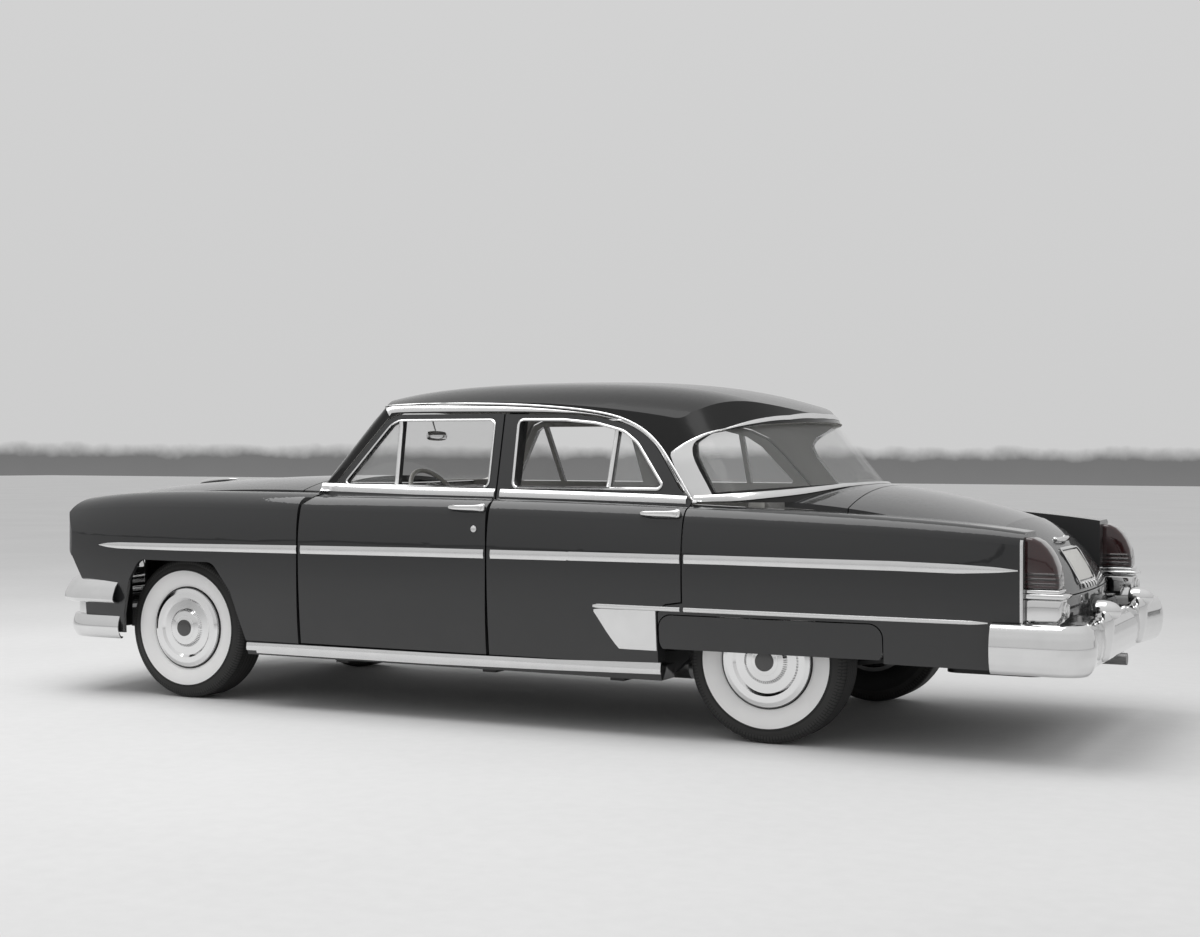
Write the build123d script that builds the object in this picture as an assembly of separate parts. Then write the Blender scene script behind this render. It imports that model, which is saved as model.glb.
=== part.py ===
# A 1950s four-door sedan on a separate chassis frame, built as its separate pieces.
# Millimetres. +X forward, +Y to the driver's left, +Z up.
# Origin on the ground, at the middle of the overall length and width.
from build123d import *

import os
from math import hypot, sqrt

# Overall sizes
overall_length = 5456.0
wheelbase = 3124.0
front_overhang = 926.0
track = 1486.0
front_tip = overall_length / 2
rear_tip = -overall_length / 2
front_axle_x = front_tip - front_overhang
rear_axle_x = front_axle_x - wheelbase
wheel_y = track / 2

# Wheels and tyres
tyre_radius = 355.0
tyre_half_width = 104.0
tread_half_width = 68.0
rim_seat_radius = 191.0
rim_flange_radius = 203.0
rim_half_width = 88.0
hub_bore = 20.0
hub_radius = 52.0
pin_clearance = 0.3
axle_z = tyre_radius
stub_radius = hub_bore - pin_clearance
brake_radius = 150.0
brake_width = 12.0

# Body walls and the gaps between panels
skin = 22.0
door_gap = 7.0
panel_gap = 5.0
seat_gap = 0.3
swing_clearance = 5.5
post_wall = 32.0
glass_wall = 6.0
glass_depth = 13.0
floor_wall = 14.0

# Belt line and glasshouse
belt_z = 1040.0
belt_half_width = 887.0
tumblehome = 0.40
windscreen_base_x = 1190.0
windscreen_corner_x = 972.0
windscreen_rake = 0.675
backlight_base_x = -1606.0
backlight_corner_x = -1215.0
backlight_rake = 0.80
front_corner_radius = 60.0
rear_corner_radius = 260.0
glasshouse_top = 1640.0
glasshouse_foot = belt_z - 8.0

# Doors: edges, hinge axes and the step between outer and inner leaf
door_inner_y = 852.0
door_step_y = 905.0
door_step = 8.0
frame_step = 10.0
hinge_y = 947.0
nose_reach = 36.0
front_door_nose_x = 1018.0
front_door_end_x = -18.0
rear_door_nose_x = front_door_end_x - door_gap - 1.0
rear_door_end_x = -984.0
rear_door_heel_x = -868.0
heel_z = 556.0
door_foot_z = 326.0
header_z = 1425.0
hinge_heights = (500.0, 850.0)
hinge_leaf = 30.0
hinge_pin_radius = 7.0
hinge_pin_reach = 22.0
post_outer_y = door_inner_y - 14.0
post_inner_y = 786.0
door_side_y = 1010.0

# Sill and floor
sill_top_z = door_foot_z - door_gap - 1.0
sill_foot_z = 256.0
sill_front_x = 1338.0
sill_rear_x = -880.0
sill_inner_y = post_outer_y - 40.0
floor_z = 330.0
heel_board_x = -660.0
platform_z = 570.0
platform_end_x = -1900.0
boot_floor_z = 450.0
boot_end_x = -2414.0
boot_half = 680.0
firewall_x = 1120.0
tunnel_half = 130.0
tunnel_top_z = 450.0
well_radius = 440.0
well_inner_y = 600.0

# Hood and luggage lid
hood_rear_x = 1216.0
hood_wall = 20.0
hood_half_rear = 655.0
hood_half_front = 560.0
hood_tip_x = 2600.0
hood_foot_z = 880.0
lid_front_x = -1640.0
lid_half_width = 690.0
lid_foot_z = 650.0
lid_wall = 24.0
gutter_depth = 10.0
tail_x = -2434.0

# Wheel openings
skirt_front_x = -878.0
skirt_rear_x = -1868.0
skirt_top_z = 544.0
quarter_foot_z = 398.0
front_opening = [(1290, 150), (1432, 560), (1540, 700), (2010, 700), (2085, 590), (2130, 420), (2140, 150)]

# Lamps
lamp_x, lamp_y, lamp_z, lamp_radius = 2480.0, 742.0, 846.0, 104.0
lens_radius = 92.0
tail_lens_foot_z = 704.0
tail_lens_top_z = 912.0
tail_base_z = 556.0

# Chassis frame and running gear
kingpin_y = 655.0
arm_low_z, arm_high_z = 240.0, 470.0
arm_wall = 16.0
arm_lap = 2.0
rail_y = 385.0
rail_width = 62.0
rail_depth = 100.0
spring_y = 560.0
spring_half = 30.0
steer_pin_x, steer_pin_y = front_axle_x - 130, kingpin_y
steer_pin_radius = 8.0
outlet_radius, outlet_length = 28.0, 120.0
tie_rod_z = 283.0

# Steering column and wheel
column_y = 400.0
column_foot = Vector(1135, column_y, 602)
wheel_hub = Vector(566, column_y, 978)
column_dir = (wheel_hub - column_foot).normalized()
column_radius = 24.0
column_tube_radius = 30.0
steering_radius = 212.0

# Side body sections, one row a station:
# x, crown y, crown z, widest y, widest z, foot y, inner-edge z
side_stations = [
    (2600, 775, 982, 895, 820, 865, 968),
    (2300, 800, 1022, 938, 815, 905, 1008),
    (1850, 815, 1045, 962, 810, 930, 1032),
    (1040, 845, 1047, 972, 805, 943, 1040),
    (-20, 858, 1041, 976, 800, 946, 1036),
    (-1000, 862, 1020, 978, 795, 946, 1012),
    (-1700, 868, 992, 968, 785, 936, 984),
    (-2434, 868, 932, 918, 770, 896, 922),
]
side_inner_y = 480.0
side_foot_z = 322.0
widest = max(row[3] for row in side_stations)
nose_radius = hypot(nose_reach, widest - hinge_y)
swing_radius = nose_radius + swing_clearance

# Roof sections: x, height on the centre line, height at the drip rail
roof_stations = [
    (1060, 1420, 1396),
    (900, 1484, 1430),
    (700, 1538, 1462),
    (400, 1578, 1474),
    (0, 1593, 1476),
    (-400, 1590, 1464),
    (-750, 1568, 1442),
    (-1050, 1515, 1408),
    (-1350, 1396, 1330),
    (-1700, 1200, 1160),
]
roof_flat_half = 440.0
roof_flat_fall = 0.17
roof_edge_half = 714.0
roof_reach = 775.0

# Hood sections across the car: y, fall of the top, set-back of the nose
hood_stations = [(0, 0, 0), (330, 13, 22), (700, 88, 90)]
# Luggage deck sections across the car: y, fall of the top, set-forward of the tail
deck_stations = [(0, 0, 0), (400, 26, 16), (760, 112, 60)]

# Window openings and their fixed panes as (x, z) points
front_window = [(32, 1092), (66, 1392), (588, 1392), (628, 1372), (812, 1104), (790, 1092)]
rear_window_hole = [(-108, 1092), (-74, 1390), (-300, 1388), (-470, 1372), (-612, 1336), (-688, 1284),
                    (-838, 1104), (-828, 1092)]
vent_pane = [(540, 1092), (588, 1392), (628, 1372), (812, 1104), (790, 1092)]
quarter_pane = [(-598, 1092), (-588, 1341), (-612, 1336), (-688, 1284), (-838, 1104), (-828, 1092)]
vent_bar = [(516, 1085), (540, 1085), (590, 1400), (566, 1400)]
quarter_bar = [(-598, 1085), (-574, 1085), (-566, 1358), (-590, 1358)]
backlight_outline = [(-1093, 1072), (-985, 1228), (-966, 1288), (-1010, 1330), (-1170, 1372), (-1400, 1400),
                     (-1800, 1440), (-1800, 1130), (-1560, 1116)]


# Shape helpers

def outline_wire(points, radius):
    return FilletPolyline(*points, radius=radius, close=True) if radius else Polyline(*points, close=True)


def slab_y(points, y0, y1, radius=None):
    """A slab with an outline of (x, z) points, from y0 to y1."""
    return extrude(Plane.XZ.offset(-y0) * make_face(outline_wire(points, radius)), amount=-(y1 - y0))


def slab_x(points, x0, x1, radius=None):
    """A slab with an outline of (y, z) points, from x0 to x1."""
    return extrude(Plane.YZ.offset(x0) * make_face(outline_wire(points, radius)), amount=x1 - x0)


def slab_z(points, z0, z1, radius=None):
    """A slab with an outline of (x, y) points, from z0 to z1."""
    return extrude(Plane.XY.offset(z0) * make_face(outline_wire(points, radius)), amount=z1 - z0)


def grown_slab(points, y0, y1, grow=0.0):
    """A slab with an outline of (x, z) points that is grown or shrunk all round."""
    face = make_face(Polyline(*points, close=True))
    face = offset(face, amount=grow, kind=Kind.INTERSECTION) if grow else face
    return extrude(Plane.XZ.offset(-y0) * face, amount=-(y1 - y0))


def block(x0, x1, y0, y1, z0, z1):
    middle = ((x0 + x1) / 2, (y0 + y1) / 2, (z0 + z1) / 2)
    return Pos(*middle) * Box(abs(x1 - x0), abs(y1 - y0), abs(z1 - z0))


def upright(x, y, radius, z0, z1):
    return Pos(x, y, (z0 + z1) / 2) * Cylinder(radius, z1 - z0)


def lengthwise(x, y, z, radius, length):
    return Pos(x, y, z) * (Rot(0, 90, 0) * Cylinder(radius, length))


def crosswise(x, y, z, radius, length):
    return Pos(x, y, z) * (Rot(90, 0, 0) * Cylinder(radius, length))


def rod(start, end, radius):
    span = Vector(end) - Vector(start)
    column = Cylinder(radius, span.length, align=(Align.CENTER, Align.CENTER, Align.MIN))
    return Plane(origin=start, z_dir=span) * column


def mirrored(shape):
    return mirror(shape, about=Plane.XZ)


def pair(shape):
    """The shape and its mirror image on the right, as one set of solids."""
    return Compound(children=[*shape.solids(), *mirrored(shape).solids()])


def biggest(shape):
    return shape.solids().sort_by(SortBy.VOLUME)[-1]


# Body forms

def side_section(row, inset):
    """One upright section of the body side: top, shoulder, side and foot, all tangent arcs."""
    x, crown_y, crown_z, side_y, side_z, foot_y, inner_z = row
    opened = 60.0 if inset else 0.0
    inner = (side_inner_y - opened, inner_z - inset)
    crown = (crown_y - inset, crown_z - inset)
    side = (side_y - inset, side_z)
    foot = (foot_y - inset, side_foot_z - opened)
    reach, drop = side[0] - crown[0], crown[1] - side[1]
    step = (sqrt((reach + drop) ** 2 + 2 * (reach**2 + drop**2)) - reach - drop) / 2
    knee = ((crown[0] + step + side[0]) / 2, (crown[1] + side[1] + step) / 2)
    turn = (reach - step, step - drop)
    edges = [
        TangentArc(crown, inner, tangent=(-1, 0)),
        TangentArc(crown, knee, tangent=(1, 0)),
        TangentArc(knee, side, tangent=turn),
        TangentArc(side, foot, tangent=(0, -1)),
        Line(foot, (inner[0], foot[1])),
        Line((inner[0], foot[1]), inner),
    ]
    return Plane.YZ.offset(x) * make_face(Wire(edges))


def side_form(inset=0.0):
    return loft([side_section(row, inset) for row in side_stations])


def hood_half(x):
    share = (x - hood_rear_x) / (hood_tip_x - hood_rear_x)
    return hood_half_rear + share * (hood_half_front - hood_half_rear)


def hood_plan(grow, x0, x1):
    """The hood's outline seen from above, widened by grow, from x0 to x1."""
    a, b = hood_half(x0) + grow, hood_half(x1) + grow
    return slab_z([(x0, -a), (x1, -b), (x1, b), (x0, a)], 300, 1300)


def hood_profile(y, fall, back, inset):
    """One fore-and-aft section of the hood and nose, at a distance y from the centre line."""
    rear, foot = 900.0, 620.0 - inset
    top_rear = (rear, 1124 - fall - inset)
    middle = (1700, 1113 - fall - inset)
    brow = (2400 - back, 1063 - fall - inset)
    nose = (2560 - back - inset, 950 - fall / 2)
    chin = (2572 - back - inset, 860 - fall / 3)
    edges = [
        ThreePointArc(top_rear, middle, brow),
        TangentArc(brow, nose, tangent=(1, -0.13)),
        Line(nose, chin),
        Line(chin, (chin[0], foot)),
        Line((chin[0], foot), (rear, foot)),
        Line((rear, foot), top_rear),
    ]
    return Plane.XZ.offset(-y) * make_face(Wire(edges))


def across(stations):
    """Rows for the right side, the middle and the left side from rows for the left."""
    return [(-y, *rest) for y, *rest in reversed(stations[1:])] + stations


def hood_form(inset=0.0):
    return loft([hood_profile(*row, inset) for row in across(hood_stations)])


def deck_profile(y, fall, ahead, inset):
    """One fore-and-aft section of the luggage deck and tail, at a distance y from the centre line."""
    front, foot = -1350.0, 560.0 - inset
    top_front = (front, 1122 - fall - inset)
    middle = (-1850, 1066 - fall - inset)
    brow = (-2256 + ahead / 2, 962 - fall * 0.8 - inset)
    tail = (-2420 + ahead + inset, 835 - fall * 0.5)
    low = (-2520 + ahead + inset, 640.0)
    edges = [
        ThreePointArc(top_front, middle, brow),
        ThreePointArc(brow, tail, low),
        Line(low, (low[0], foot)),
        Line((low[0], foot), (front, foot)),
        Line((front, foot), top_front),
    ]
    return Plane.XZ.offset(-y) * make_face(Wire(edges))


def deck_form(inset=0.0):
    return loft([deck_profile(*row, inset) for row in across(deck_stations)])


def glasshouse_plan(z, inset):
    """The outline of the glasshouse at a height: bowed windscreen, flat sides, wrapped backlight."""
    up = z - belt_z
    half = belt_half_width - tumblehome * up - inset * 1.08
    front_corner = windscreen_corner_x - windscreen_rake * up - inset
    front = windscreen_base_x - windscreen_rake * up - 1.2 * inset
    rear_corner = backlight_corner_x + backlight_rake * up + inset
    rear = backlight_base_x + backlight_rake * up + 1.3 * inset
    outline = Wire([
        ThreePointArc((front_corner, -half), (front, 0), (front_corner, half)),
        Line((front_corner, half), (rear_corner, half)),
        ThreePointArc((rear_corner, half), (rear, 0), (rear_corner, -half)),
        Line((rear_corner, -half), (front_corner, -half)),
    ])
    face = make_face(outline)
    for corner_x, radius in ((front_corner, front_corner_radius), (rear_corner, rear_corner_radius)):
        face = fillet([v for v in face.vertices() if abs(v.X - corner_x) < 1], radius)
    return Pos(0, 0, z) * face


def roof_section(x, middle_z, edge_z, inset):
    """One upright section of the roof: a flat crown, then a shoulder down to the drip rail."""
    top, edge = middle_z - inset, edge_z - inset
    flat_fall = roof_flat_fall * (middle_z - edge_z)
    reach_z = edge - 1.15 * (roof_reach - roof_edge_half)
    slope = 2 * flat_fall / roof_flat_half
    flat = (roof_flat_half, top - flat_fall)
    right_flat = (-flat[0], flat[1])
    outer, base = 900, glasshouse_foot - 80
    edges = [
        ThreePointArc(right_flat, (0, top), flat),
        TangentArc(flat, (roof_edge_half, edge), tangent=(1, -slope)),
        Line((roof_edge_half, edge), (roof_reach, reach_z)),
        Line((roof_reach, reach_z), (outer, base)),
        Line((outer, base), (-outer, base)),
        Line((-outer, base), (-roof_reach, reach_z)),
        Line((-roof_reach, reach_z), (-roof_edge_half, edge)),
        TangentArc(right_flat, (-roof_edge_half, edge), tangent=(-1, -slope)),
    ]
    return Plane.YZ.offset(x) * make_face(Wire(edges))


def glasshouse_form(inset, foot):
    """The closed cabin form above the belt, set in by a wall."""
    cone = loft([glasshouse_plan(foot, inset), glasshouse_plan(glasshouse_top, inset)], ruled=True)
    crown = loft([roof_section(*row, inset) for row in roof_stations])
    return (cone & crown).solids()[0]


# Doors

def door_outline(nose_x, end_x, heel_x, front_top, rear_top, frame):
    """The door panel below the belt, then the window frame above it, as (x, z) points."""
    lower = [(nose_x, door_foot_z), (heel_x, door_foot_z)]
    if heel_x != end_x:
        lower += [(heel_x, heel_z), (heel_x - 40, heel_z + 36), (end_x, heel_z + 48)]
    return lower + [(end_x, rear_top), *frame, (nose_x, front_top)]


# The window frames' outlines, from behind over the header to the front
front_frame = [(20, header_z), (592, header_z), (655, 1400), (893, 1062), (front_door_nose_x - 60, 1032)]
rear_frame = [(-998, 1030), (-928, 1090), (-868, 1168), (-800, 1255), (-735, 1322), (-640, 1368),
              (-480, 1404), (-300, header_z - 6), (12, header_z - 2)]
front_door_outline = door_outline(front_door_nose_x, front_door_end_x, front_door_end_x, 990, belt_z, front_frame)
rear_door_outline = door_outline(rear_door_nose_x, rear_door_end_x, rear_door_heel_x, belt_z, 1000, rear_frame)


def side_plane(z, depth):
    """How far out the flat side of the glasshouse lies at a height, less a depth."""
    return belt_half_width - tumblehome * (z - belt_z) - depth * 1.08


def leaning_slab(points, depth0, depth1, grow=0.0):
    """A slab with an (x, z) outline, between two depths behind the leaning side of the glasshouse."""
    low, high = 1000.0, 1500.0
    cover = slab_x([(side_plane(low, depth0), low), (side_plane(high, depth0), high),
                    (side_plane(high, depth1), high), (side_plane(low, depth1), low)], -1300, 1300)
    return grown_slab(points, 500, door_side_y, grow) & cover


def hinge_axis_x(nose_x):
    return nose_x - nose_reach


def door_shell(outline, window, nose_x, bar, behind_x=None):
    """A door: panel below, frame above, stepped all round, with its window cut through."""
    belt_cut = belt_z + 6
    outer = grown_slab(outline, door_step_y, door_side_y)
    inner = grown_slab(outline, door_inner_y, door_step_y, -door_step)
    below = block(-1400, 1400, 700, door_side_y, 0, belt_cut)
    door = (outer + inner) & below & side_form()
    frame = leaning_slab(outline, 0, frame_step) + leaning_slab(outline, frame_step - 0.5, post_wall, -door_step)
    door += frame - block(-1400, 1400, 500, door_side_y, 0, belt_cut - 70)
    door -= grown_slab(window, 500, door_side_y)
    door += leaning_slab(bar, 4, post_wall - 4)
    axis_x = hinge_axis_x(nose_x)
    for z in hinge_heights:
        door -= block(axis_x - 16, axis_x + 90, 700, hinge_y + 8, z - 5, z + hinge_leaf + 5)
        reach = hinge_pin_reach + 3
        door -= upright(axis_x, hinge_y, hinge_pin_radius + pin_clearance, z - reach, z + hinge_leaf + reach)
    if behind_x is not None:
        door -= upright(hinge_axis_x(behind_x), hinge_y, swing_radius, 0, belt_z)
    return biggest(door)


def door_pane(outline, bar):
    pane = leaning_slab(outline, glass_depth, glass_depth + glass_wall, -seat_gap)
    return biggest(pane - leaning_slab(bar, 0, 40, seat_gap))


def door_cutter(outline, nose_x):
    """The space that a door and its swing need in the body."""
    cutter = grown_slab(outline, 500, door_side_y, door_gap)
    return cutter + upright(hinge_axis_x(nose_x), hinge_y, swing_radius, sill_top_z, belt_z - 14)


def hinge_pair(nose_x):
    """Two hinge leaves with their pins, on the post behind a door's front edge."""
    axis_x = hinge_axis_x(nose_x)
    leaves = []
    for z in hinge_heights:
        top = z + hinge_leaf
        leaf = block(axis_x - 8, axis_x + 8, post_outer_y - 2, hinge_y, z, top) + upright(axis_x, hinge_y, 8, z, top)
        leaves.append(leaf + upright(axis_x, hinge_y, hinge_pin_radius, z - hinge_pin_reach, top + hinge_pin_reach))
    return leaves


# Forms that several pieces are cut from
side_solid = side_form()
side_inside = side_form(skin)
side_shell = side_solid - side_inside
cabin_solid = glasshouse_form(0, glasshouse_foot)
cabin_shell = cabin_solid - glasshouse_form(post_wall, glasshouse_foot - 20)
pane_shell = (glasshouse_form(glass_depth, glasshouse_foot)
              - glasshouse_form(glass_depth + glass_wall, glasshouse_foot - 20))
hood_shell = hood_form() - hood_form(hood_wall)
deck_shell = deck_form() - deck_form(lid_wall)
door_space = door_cutter(front_door_outline, front_door_nose_x) + door_cutter(rear_door_outline, rear_door_nose_x)


def windscreen_slab(grow):
    """The space of the windscreen opening, as a slab along the car."""
    foot_half, foot, top_half, top, middle_top = 792, 1100, 668, 1418, 1456
    face = make_face(Wire([
        Line((-foot_half, foot), (foot_half, foot)),
        Line((foot_half, foot), (top_half, top)),
        ThreePointArc((top_half, top), (0, middle_top), (-top_half, top)),
        Line((-top_half, top), (-foot_half, foot)),
    ]))
    face = offset(fillet(face.vertices(), 38), amount=grow) if grow else fillet(face.vertices(), 38)
    return extrude(Plane.YZ.offset(560) * face, amount=800)


def backlight_slab(grow):
    """The space of the wrapped rear window, as a slab across the car."""
    face = make_face(FilletPolyline(*backlight_outline, radius=18, close=True))
    face = offset(face, amount=grow) if grow else face
    return extrude(Plane.XZ.offset(-1000) * face, amount=2000)


def roof_panel():
    roof = cabin_shell - windscreen_slab(0) - backlight_slab(0)
    return biggest(roof - door_space - mirrored(door_space))


# Fenders

def nose_cover():
    """The side view of the front fenders, with the nose's outline."""
    hollow = (2440, 1006)
    face = make_face(Wire([
        Line((840, 1150), (2380, 1150)),
        Line((2380, 1150), hollow),
        ThreePointArc(hollow, (2535, 935), (2558, 848)),
        ThreePointArc((2558, 848), (2543, 765), (2490, 702)),
        Line((2490, 702), (2400, 560)),
        Line((2400, 560), (2400, 200)),
        Line((2400, 200), (840, 200)),
        Line((840, 200), (840, 1150)),
    ]))
    return extrude(Plane.XZ.offset(-400) * face, amount=-700)


def corner_cover():
    """The plan view of the front fenders, with the rounded outer corner."""
    corner_y = 905
    outline = [(840, 400), (2558, 400), (2558, corner_y), (2300, 945), (2300, 1000), (840, 1000)]
    face = make_face(Polyline(*outline, close=True))
    face = fillet([v for v in face.vertices() if abs(v.Y - corner_y) < 1], 95)
    return extrude(Plane.XY.offset(150) * face, amount=1100)


def front_fender():
    cover = nose_cover() & corner_cover()
    solid = side_solid & cover
    inside = side_inside & (Pos(-skin, 0, 0) * cover + block(700, 900, 300, 1010, 100, 1100))
    fender = solid - inside
    fender -= hood_plan(panel_gap, 700, hood_tip_x + 60)
    fender -= slab_y(front_opening, 700, 1010, 70)
    fender -= door_space
    fender -= cabin_solid
    fender += lengthwise(lamp_x + 10, lamp_y, lamp_z, lamp_radius + 14, 100) & solid
    fender -= lengthwise(lamp_x + 60, lamp_y, lamp_z, lamp_radius, 120)
    return biggest(fender)


def quarter_panel():
    low_edge = slab_y([(-700, 100), (-700, quarter_foot_z), (-2800, quarter_foot_z - 26), (-2800, 100)], 300, 1100)
    quarter = side_shell & (block(-2800, -860, 300, 1100, 200, 1300) - low_edge)
    quarter -= door_space
    quarter -= cabin_solid
    cut_half = lid_half_width + panel_gap
    quarter -= block(-2700, lid_front_x, -cut_half, cut_half, 300, 1300)
    quarter -= block(lid_front_x - 200, -860, 0, cut_half, 300, 1300)
    arch_front, arch_rear, arch_top = skirt_front_x + panel_gap, skirt_rear_x - panel_gap, skirt_top_z + panel_gap
    arch = [(arch_front, 200), (arch_front, arch_top), (arch_rear, arch_top), (arch_rear, 200)]
    quarter -= slab_y(arch, 700, 1010, 62)
    pod_wall = block(tail_x, -1840, cut_half, cut_half + 14, 560, 1000)
    pod_end = block(tail_x, tail_x + 16, cut_half, 960, 380, 1000)
    quarter += (pod_wall + pod_end) & side_solid
    return biggest(quarter)


def fender_skirt():
    outline = [(skirt_front_x, 380), (skirt_front_x, skirt_top_z), (skirt_rear_x, skirt_top_z), (skirt_rear_x, 380)]
    return side_shell & slab_y(outline, 700, 1010, 57) & block(-2800, 0, 700, 1010, quarter_foot_z, 600)


# Hood, cowl, deck and luggage lid

def gutter(form, wall, edge_x, way, half):
    """The ledge that a lid's hinged edge lies on; way points from the lid to the fixed panel."""
    ledge = form(wall + seat_gap) - form(wall + gutter_depth)
    ledge = ledge & block(edge_x - way * 34, edge_x + way * 30, -half, half, 800, 1300)
    web = form(wall - 2) - form(wall + gutter_depth)
    return ledge + (web & block(edge_x + way * 12, edge_x + way * 30, -half, half, 800, 1300))


def hood_panel():
    return biggest(hood_shell & hood_plan(0, hood_rear_x, hood_tip_x)
                   & block(hood_rear_x, hood_tip_x, -700, 700, hood_foot_z, 1300))


def cowl_panel():
    """The panel ahead of the windscreen, the firewall and the front hinge pillars."""
    cowl = hood_shell & hood_plan(0, 900, hood_rear_x - panel_gap - 3) & block(900, hood_rear_x, -700, 700, 900, 1300)
    cowl = cowl - cabin_solid - extrude(glasshouse_plan(glasshouse_foot + 1, 0), amount=-120)
    firewall = block(firewall_x, firewall_x + floor_wall, -640, 640, floor_z, 1120) & hood_form(hood_wall / 2)
    firewall += block(firewall_x, firewall_x + floor_wall, -post_outer_y + 2, post_outer_y - 2, floor_z, 1000)
    opening_half = tunnel_half - floor_wall
    firewall -= block(firewall_x - 10, firewall_x + 30, -opening_half, opening_half, 300, tunnel_top_z - floor_wall)
    cowl += firewall
    cowl += gutter(hood_form, hood_wall, hood_rear_x, -1, 560)
    axis_x = hinge_axis_x(front_door_nose_x)
    pillar = block(axis_x - 14, firewall_x + floor_wall, post_inner_y, post_outer_y, sill_top_z, 1005)
    for leaf in hinge_pair(front_door_nose_x):
        pillar += leaf
    return biggest(cowl + pillar + mirrored(pillar))


def deck_panel():
    deck = deck_shell & block(lid_front_x + panel_gap, -1300, -lid_half_width, lid_half_width, 900, 1300)
    deck -= cabin_solid
    return biggest(deck + gutter(deck_form, lid_wall, lid_front_x, 1, 600))


def luggage_lid():
    return biggest(deck_shell & block(-2700, lid_front_x, -lid_half_width, lid_half_width, lid_foot_z, 1300))


def rear_panel():
    """The fixed panel under the luggage lid, with its flange to the boot floor."""
    panel = deck_shell & block(-2700, -2300, -lid_half_width, lid_half_width, 500, lid_foot_z - panel_gap)
    panel += block(-2510, boot_end_x, -lid_half_width, lid_half_width, 560, 576)
    return panel + block(boot_end_x - floor_wall, boot_end_x, -lid_half_width, lid_half_width, boot_floor_z, 576)


# Chassis frame, floor, sills and posts

def chassis_frame():
    top = [(2500, 400), (1350, 400), (1150, floor_z), (-720, floor_z), (-980, platform_z - seat_gap),
           (-1660, platform_z - seat_gap), (platform_end_x + 10, boot_floor_z), (-2480, boot_floor_z)]
    outline = top + [(x, z - rail_depth) for x, z in reversed(top)]
    rail = slab_y(outline, rail_y, rail_y + rail_width)
    sill_reach = sill_inner_y - seat_gap
    # Cross members: x, half length, lowest z, highest z, width along the car
    cross_members = [
        (2440, 440, 318, 390, 70),
        (front_axle_x, 400, arm_low_z + arm_lap + seat_gap, 330, 120),
        (880, sill_reach, 225, 285, 70),
        (60, sill_reach, 225, 285, 70),
        (-600, sill_reach, 225, 285, 70),
        (-1000, 440, 486, 550, 60),
        (-1700, 440, 486, 540, 60),
        (-2440, 440, 360, 430, 60),
    ]
    frame = rail + mirrored(rail)
    for x, half, z0, z1, width in cross_members:
        frame += block(x - width / 2, x + width / 2, -half, half, z0, z1)
    # Spring hangers: x, height of the spring's end
    hangers = [(-784, 372), (-1983, 392)]
    for side in (1, -1):
        for x, end_z in hangers:
            frame += block(x - 22, x + 22, side * 440, side * (spring_y + spring_half), end_z + seat_gap, end_z + 40)
        frame += block(front_axle_x - 80, front_axle_x + 80, side * rail_y, side * 500, 330,
                       arm_high_z - arm_lap - seat_gap)
    return frame


def wheel_well():
    """The arched cover over a rear wheel, up to the quarter panel's inside."""
    well = crosswise(rear_axle_x, 800, axle_z, well_radius, 400)
    well -= crosswise(rear_axle_x, 800 + floor_wall, axle_z, well_radius - floor_wall, 400)
    well = well & block(-2000, -600, well_inner_y, 1000, quarter_foot_z + 6, 1000)
    return (well & side_form(skin + seat_gap)) - door_space


def floor_pan():
    half = post_inner_y - seat_gap
    floor = block(heel_board_x, firewall_x, -half, half, floor_z, floor_z + floor_wall)
    floor += block(heel_board_x - floor_wall, heel_board_x, -half, half, floor_z, platform_z + floor_wall)
    floor += block(platform_end_x, heel_board_x, -620, 620, platform_z, platform_z + floor_wall)
    floor += block(platform_end_x - floor_wall, platform_end_x, -boot_half, boot_half, boot_floor_z,
                   platform_z + floor_wall)
    floor += block(boot_end_x, platform_end_x, -boot_half, boot_half, boot_floor_z, boot_floor_z + floor_wall)
    floor += block(heel_board_x, firewall_x, -tunnel_half, tunnel_half, floor_z, tunnel_top_z)
    bore_half = tunnel_half - floor_wall
    floor -= block(heel_board_x - 40, firewall_x + 10, -bore_half, bore_half, 200, tunnel_top_z - floor_wall)
    well = wheel_well()
    return biggest(floor + well + mirrored(well))


def rocker_panel():
    outline = [(sill_inner_y, sill_top_z), (944, sill_top_z), (948, 300), (936, sill_foot_z),
               (sill_inner_y, sill_foot_z)]
    return slab_x(outline, sill_rear_x, sill_front_x)


def centre_pillar():
    post = block(-104, -12, post_inner_y, post_outer_y, sill_top_z, 1000)
    for leaf in hinge_pair(rear_door_nose_x):
        post += leaf
    frame_gap, width, top, foot = 20.0, 34.0, 1436.0, 980.0
    depth = post_wall + frame_gap
    upper = slab_x([(side_plane(foot, depth), foot), (side_plane(top, depth), top),
                    (side_plane(top, depth) - width, top), (side_plane(foot, depth) - width, foot)], -98, 30)
    return post + (upper & slab_y([(-104, foot), (-60, top), (24, top), (-12, foot)], 500, post_outer_y))


def engine_bay_panels():
    side_wall = block(firewall_x + floor_wall, 2300, 428, 436, 500, 900)
    bay = side_wall + mirrored(side_wall) + block(2296, 2312, -560, 560, 402, 900)
    return bay - block(2200, 2400, -300, 300, 470, 840)


# Bumpers: one pressed section swept round each end of the car
bumper_bow = 60.0
bumper_wall = 12.0
guard_y = 420.0


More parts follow.
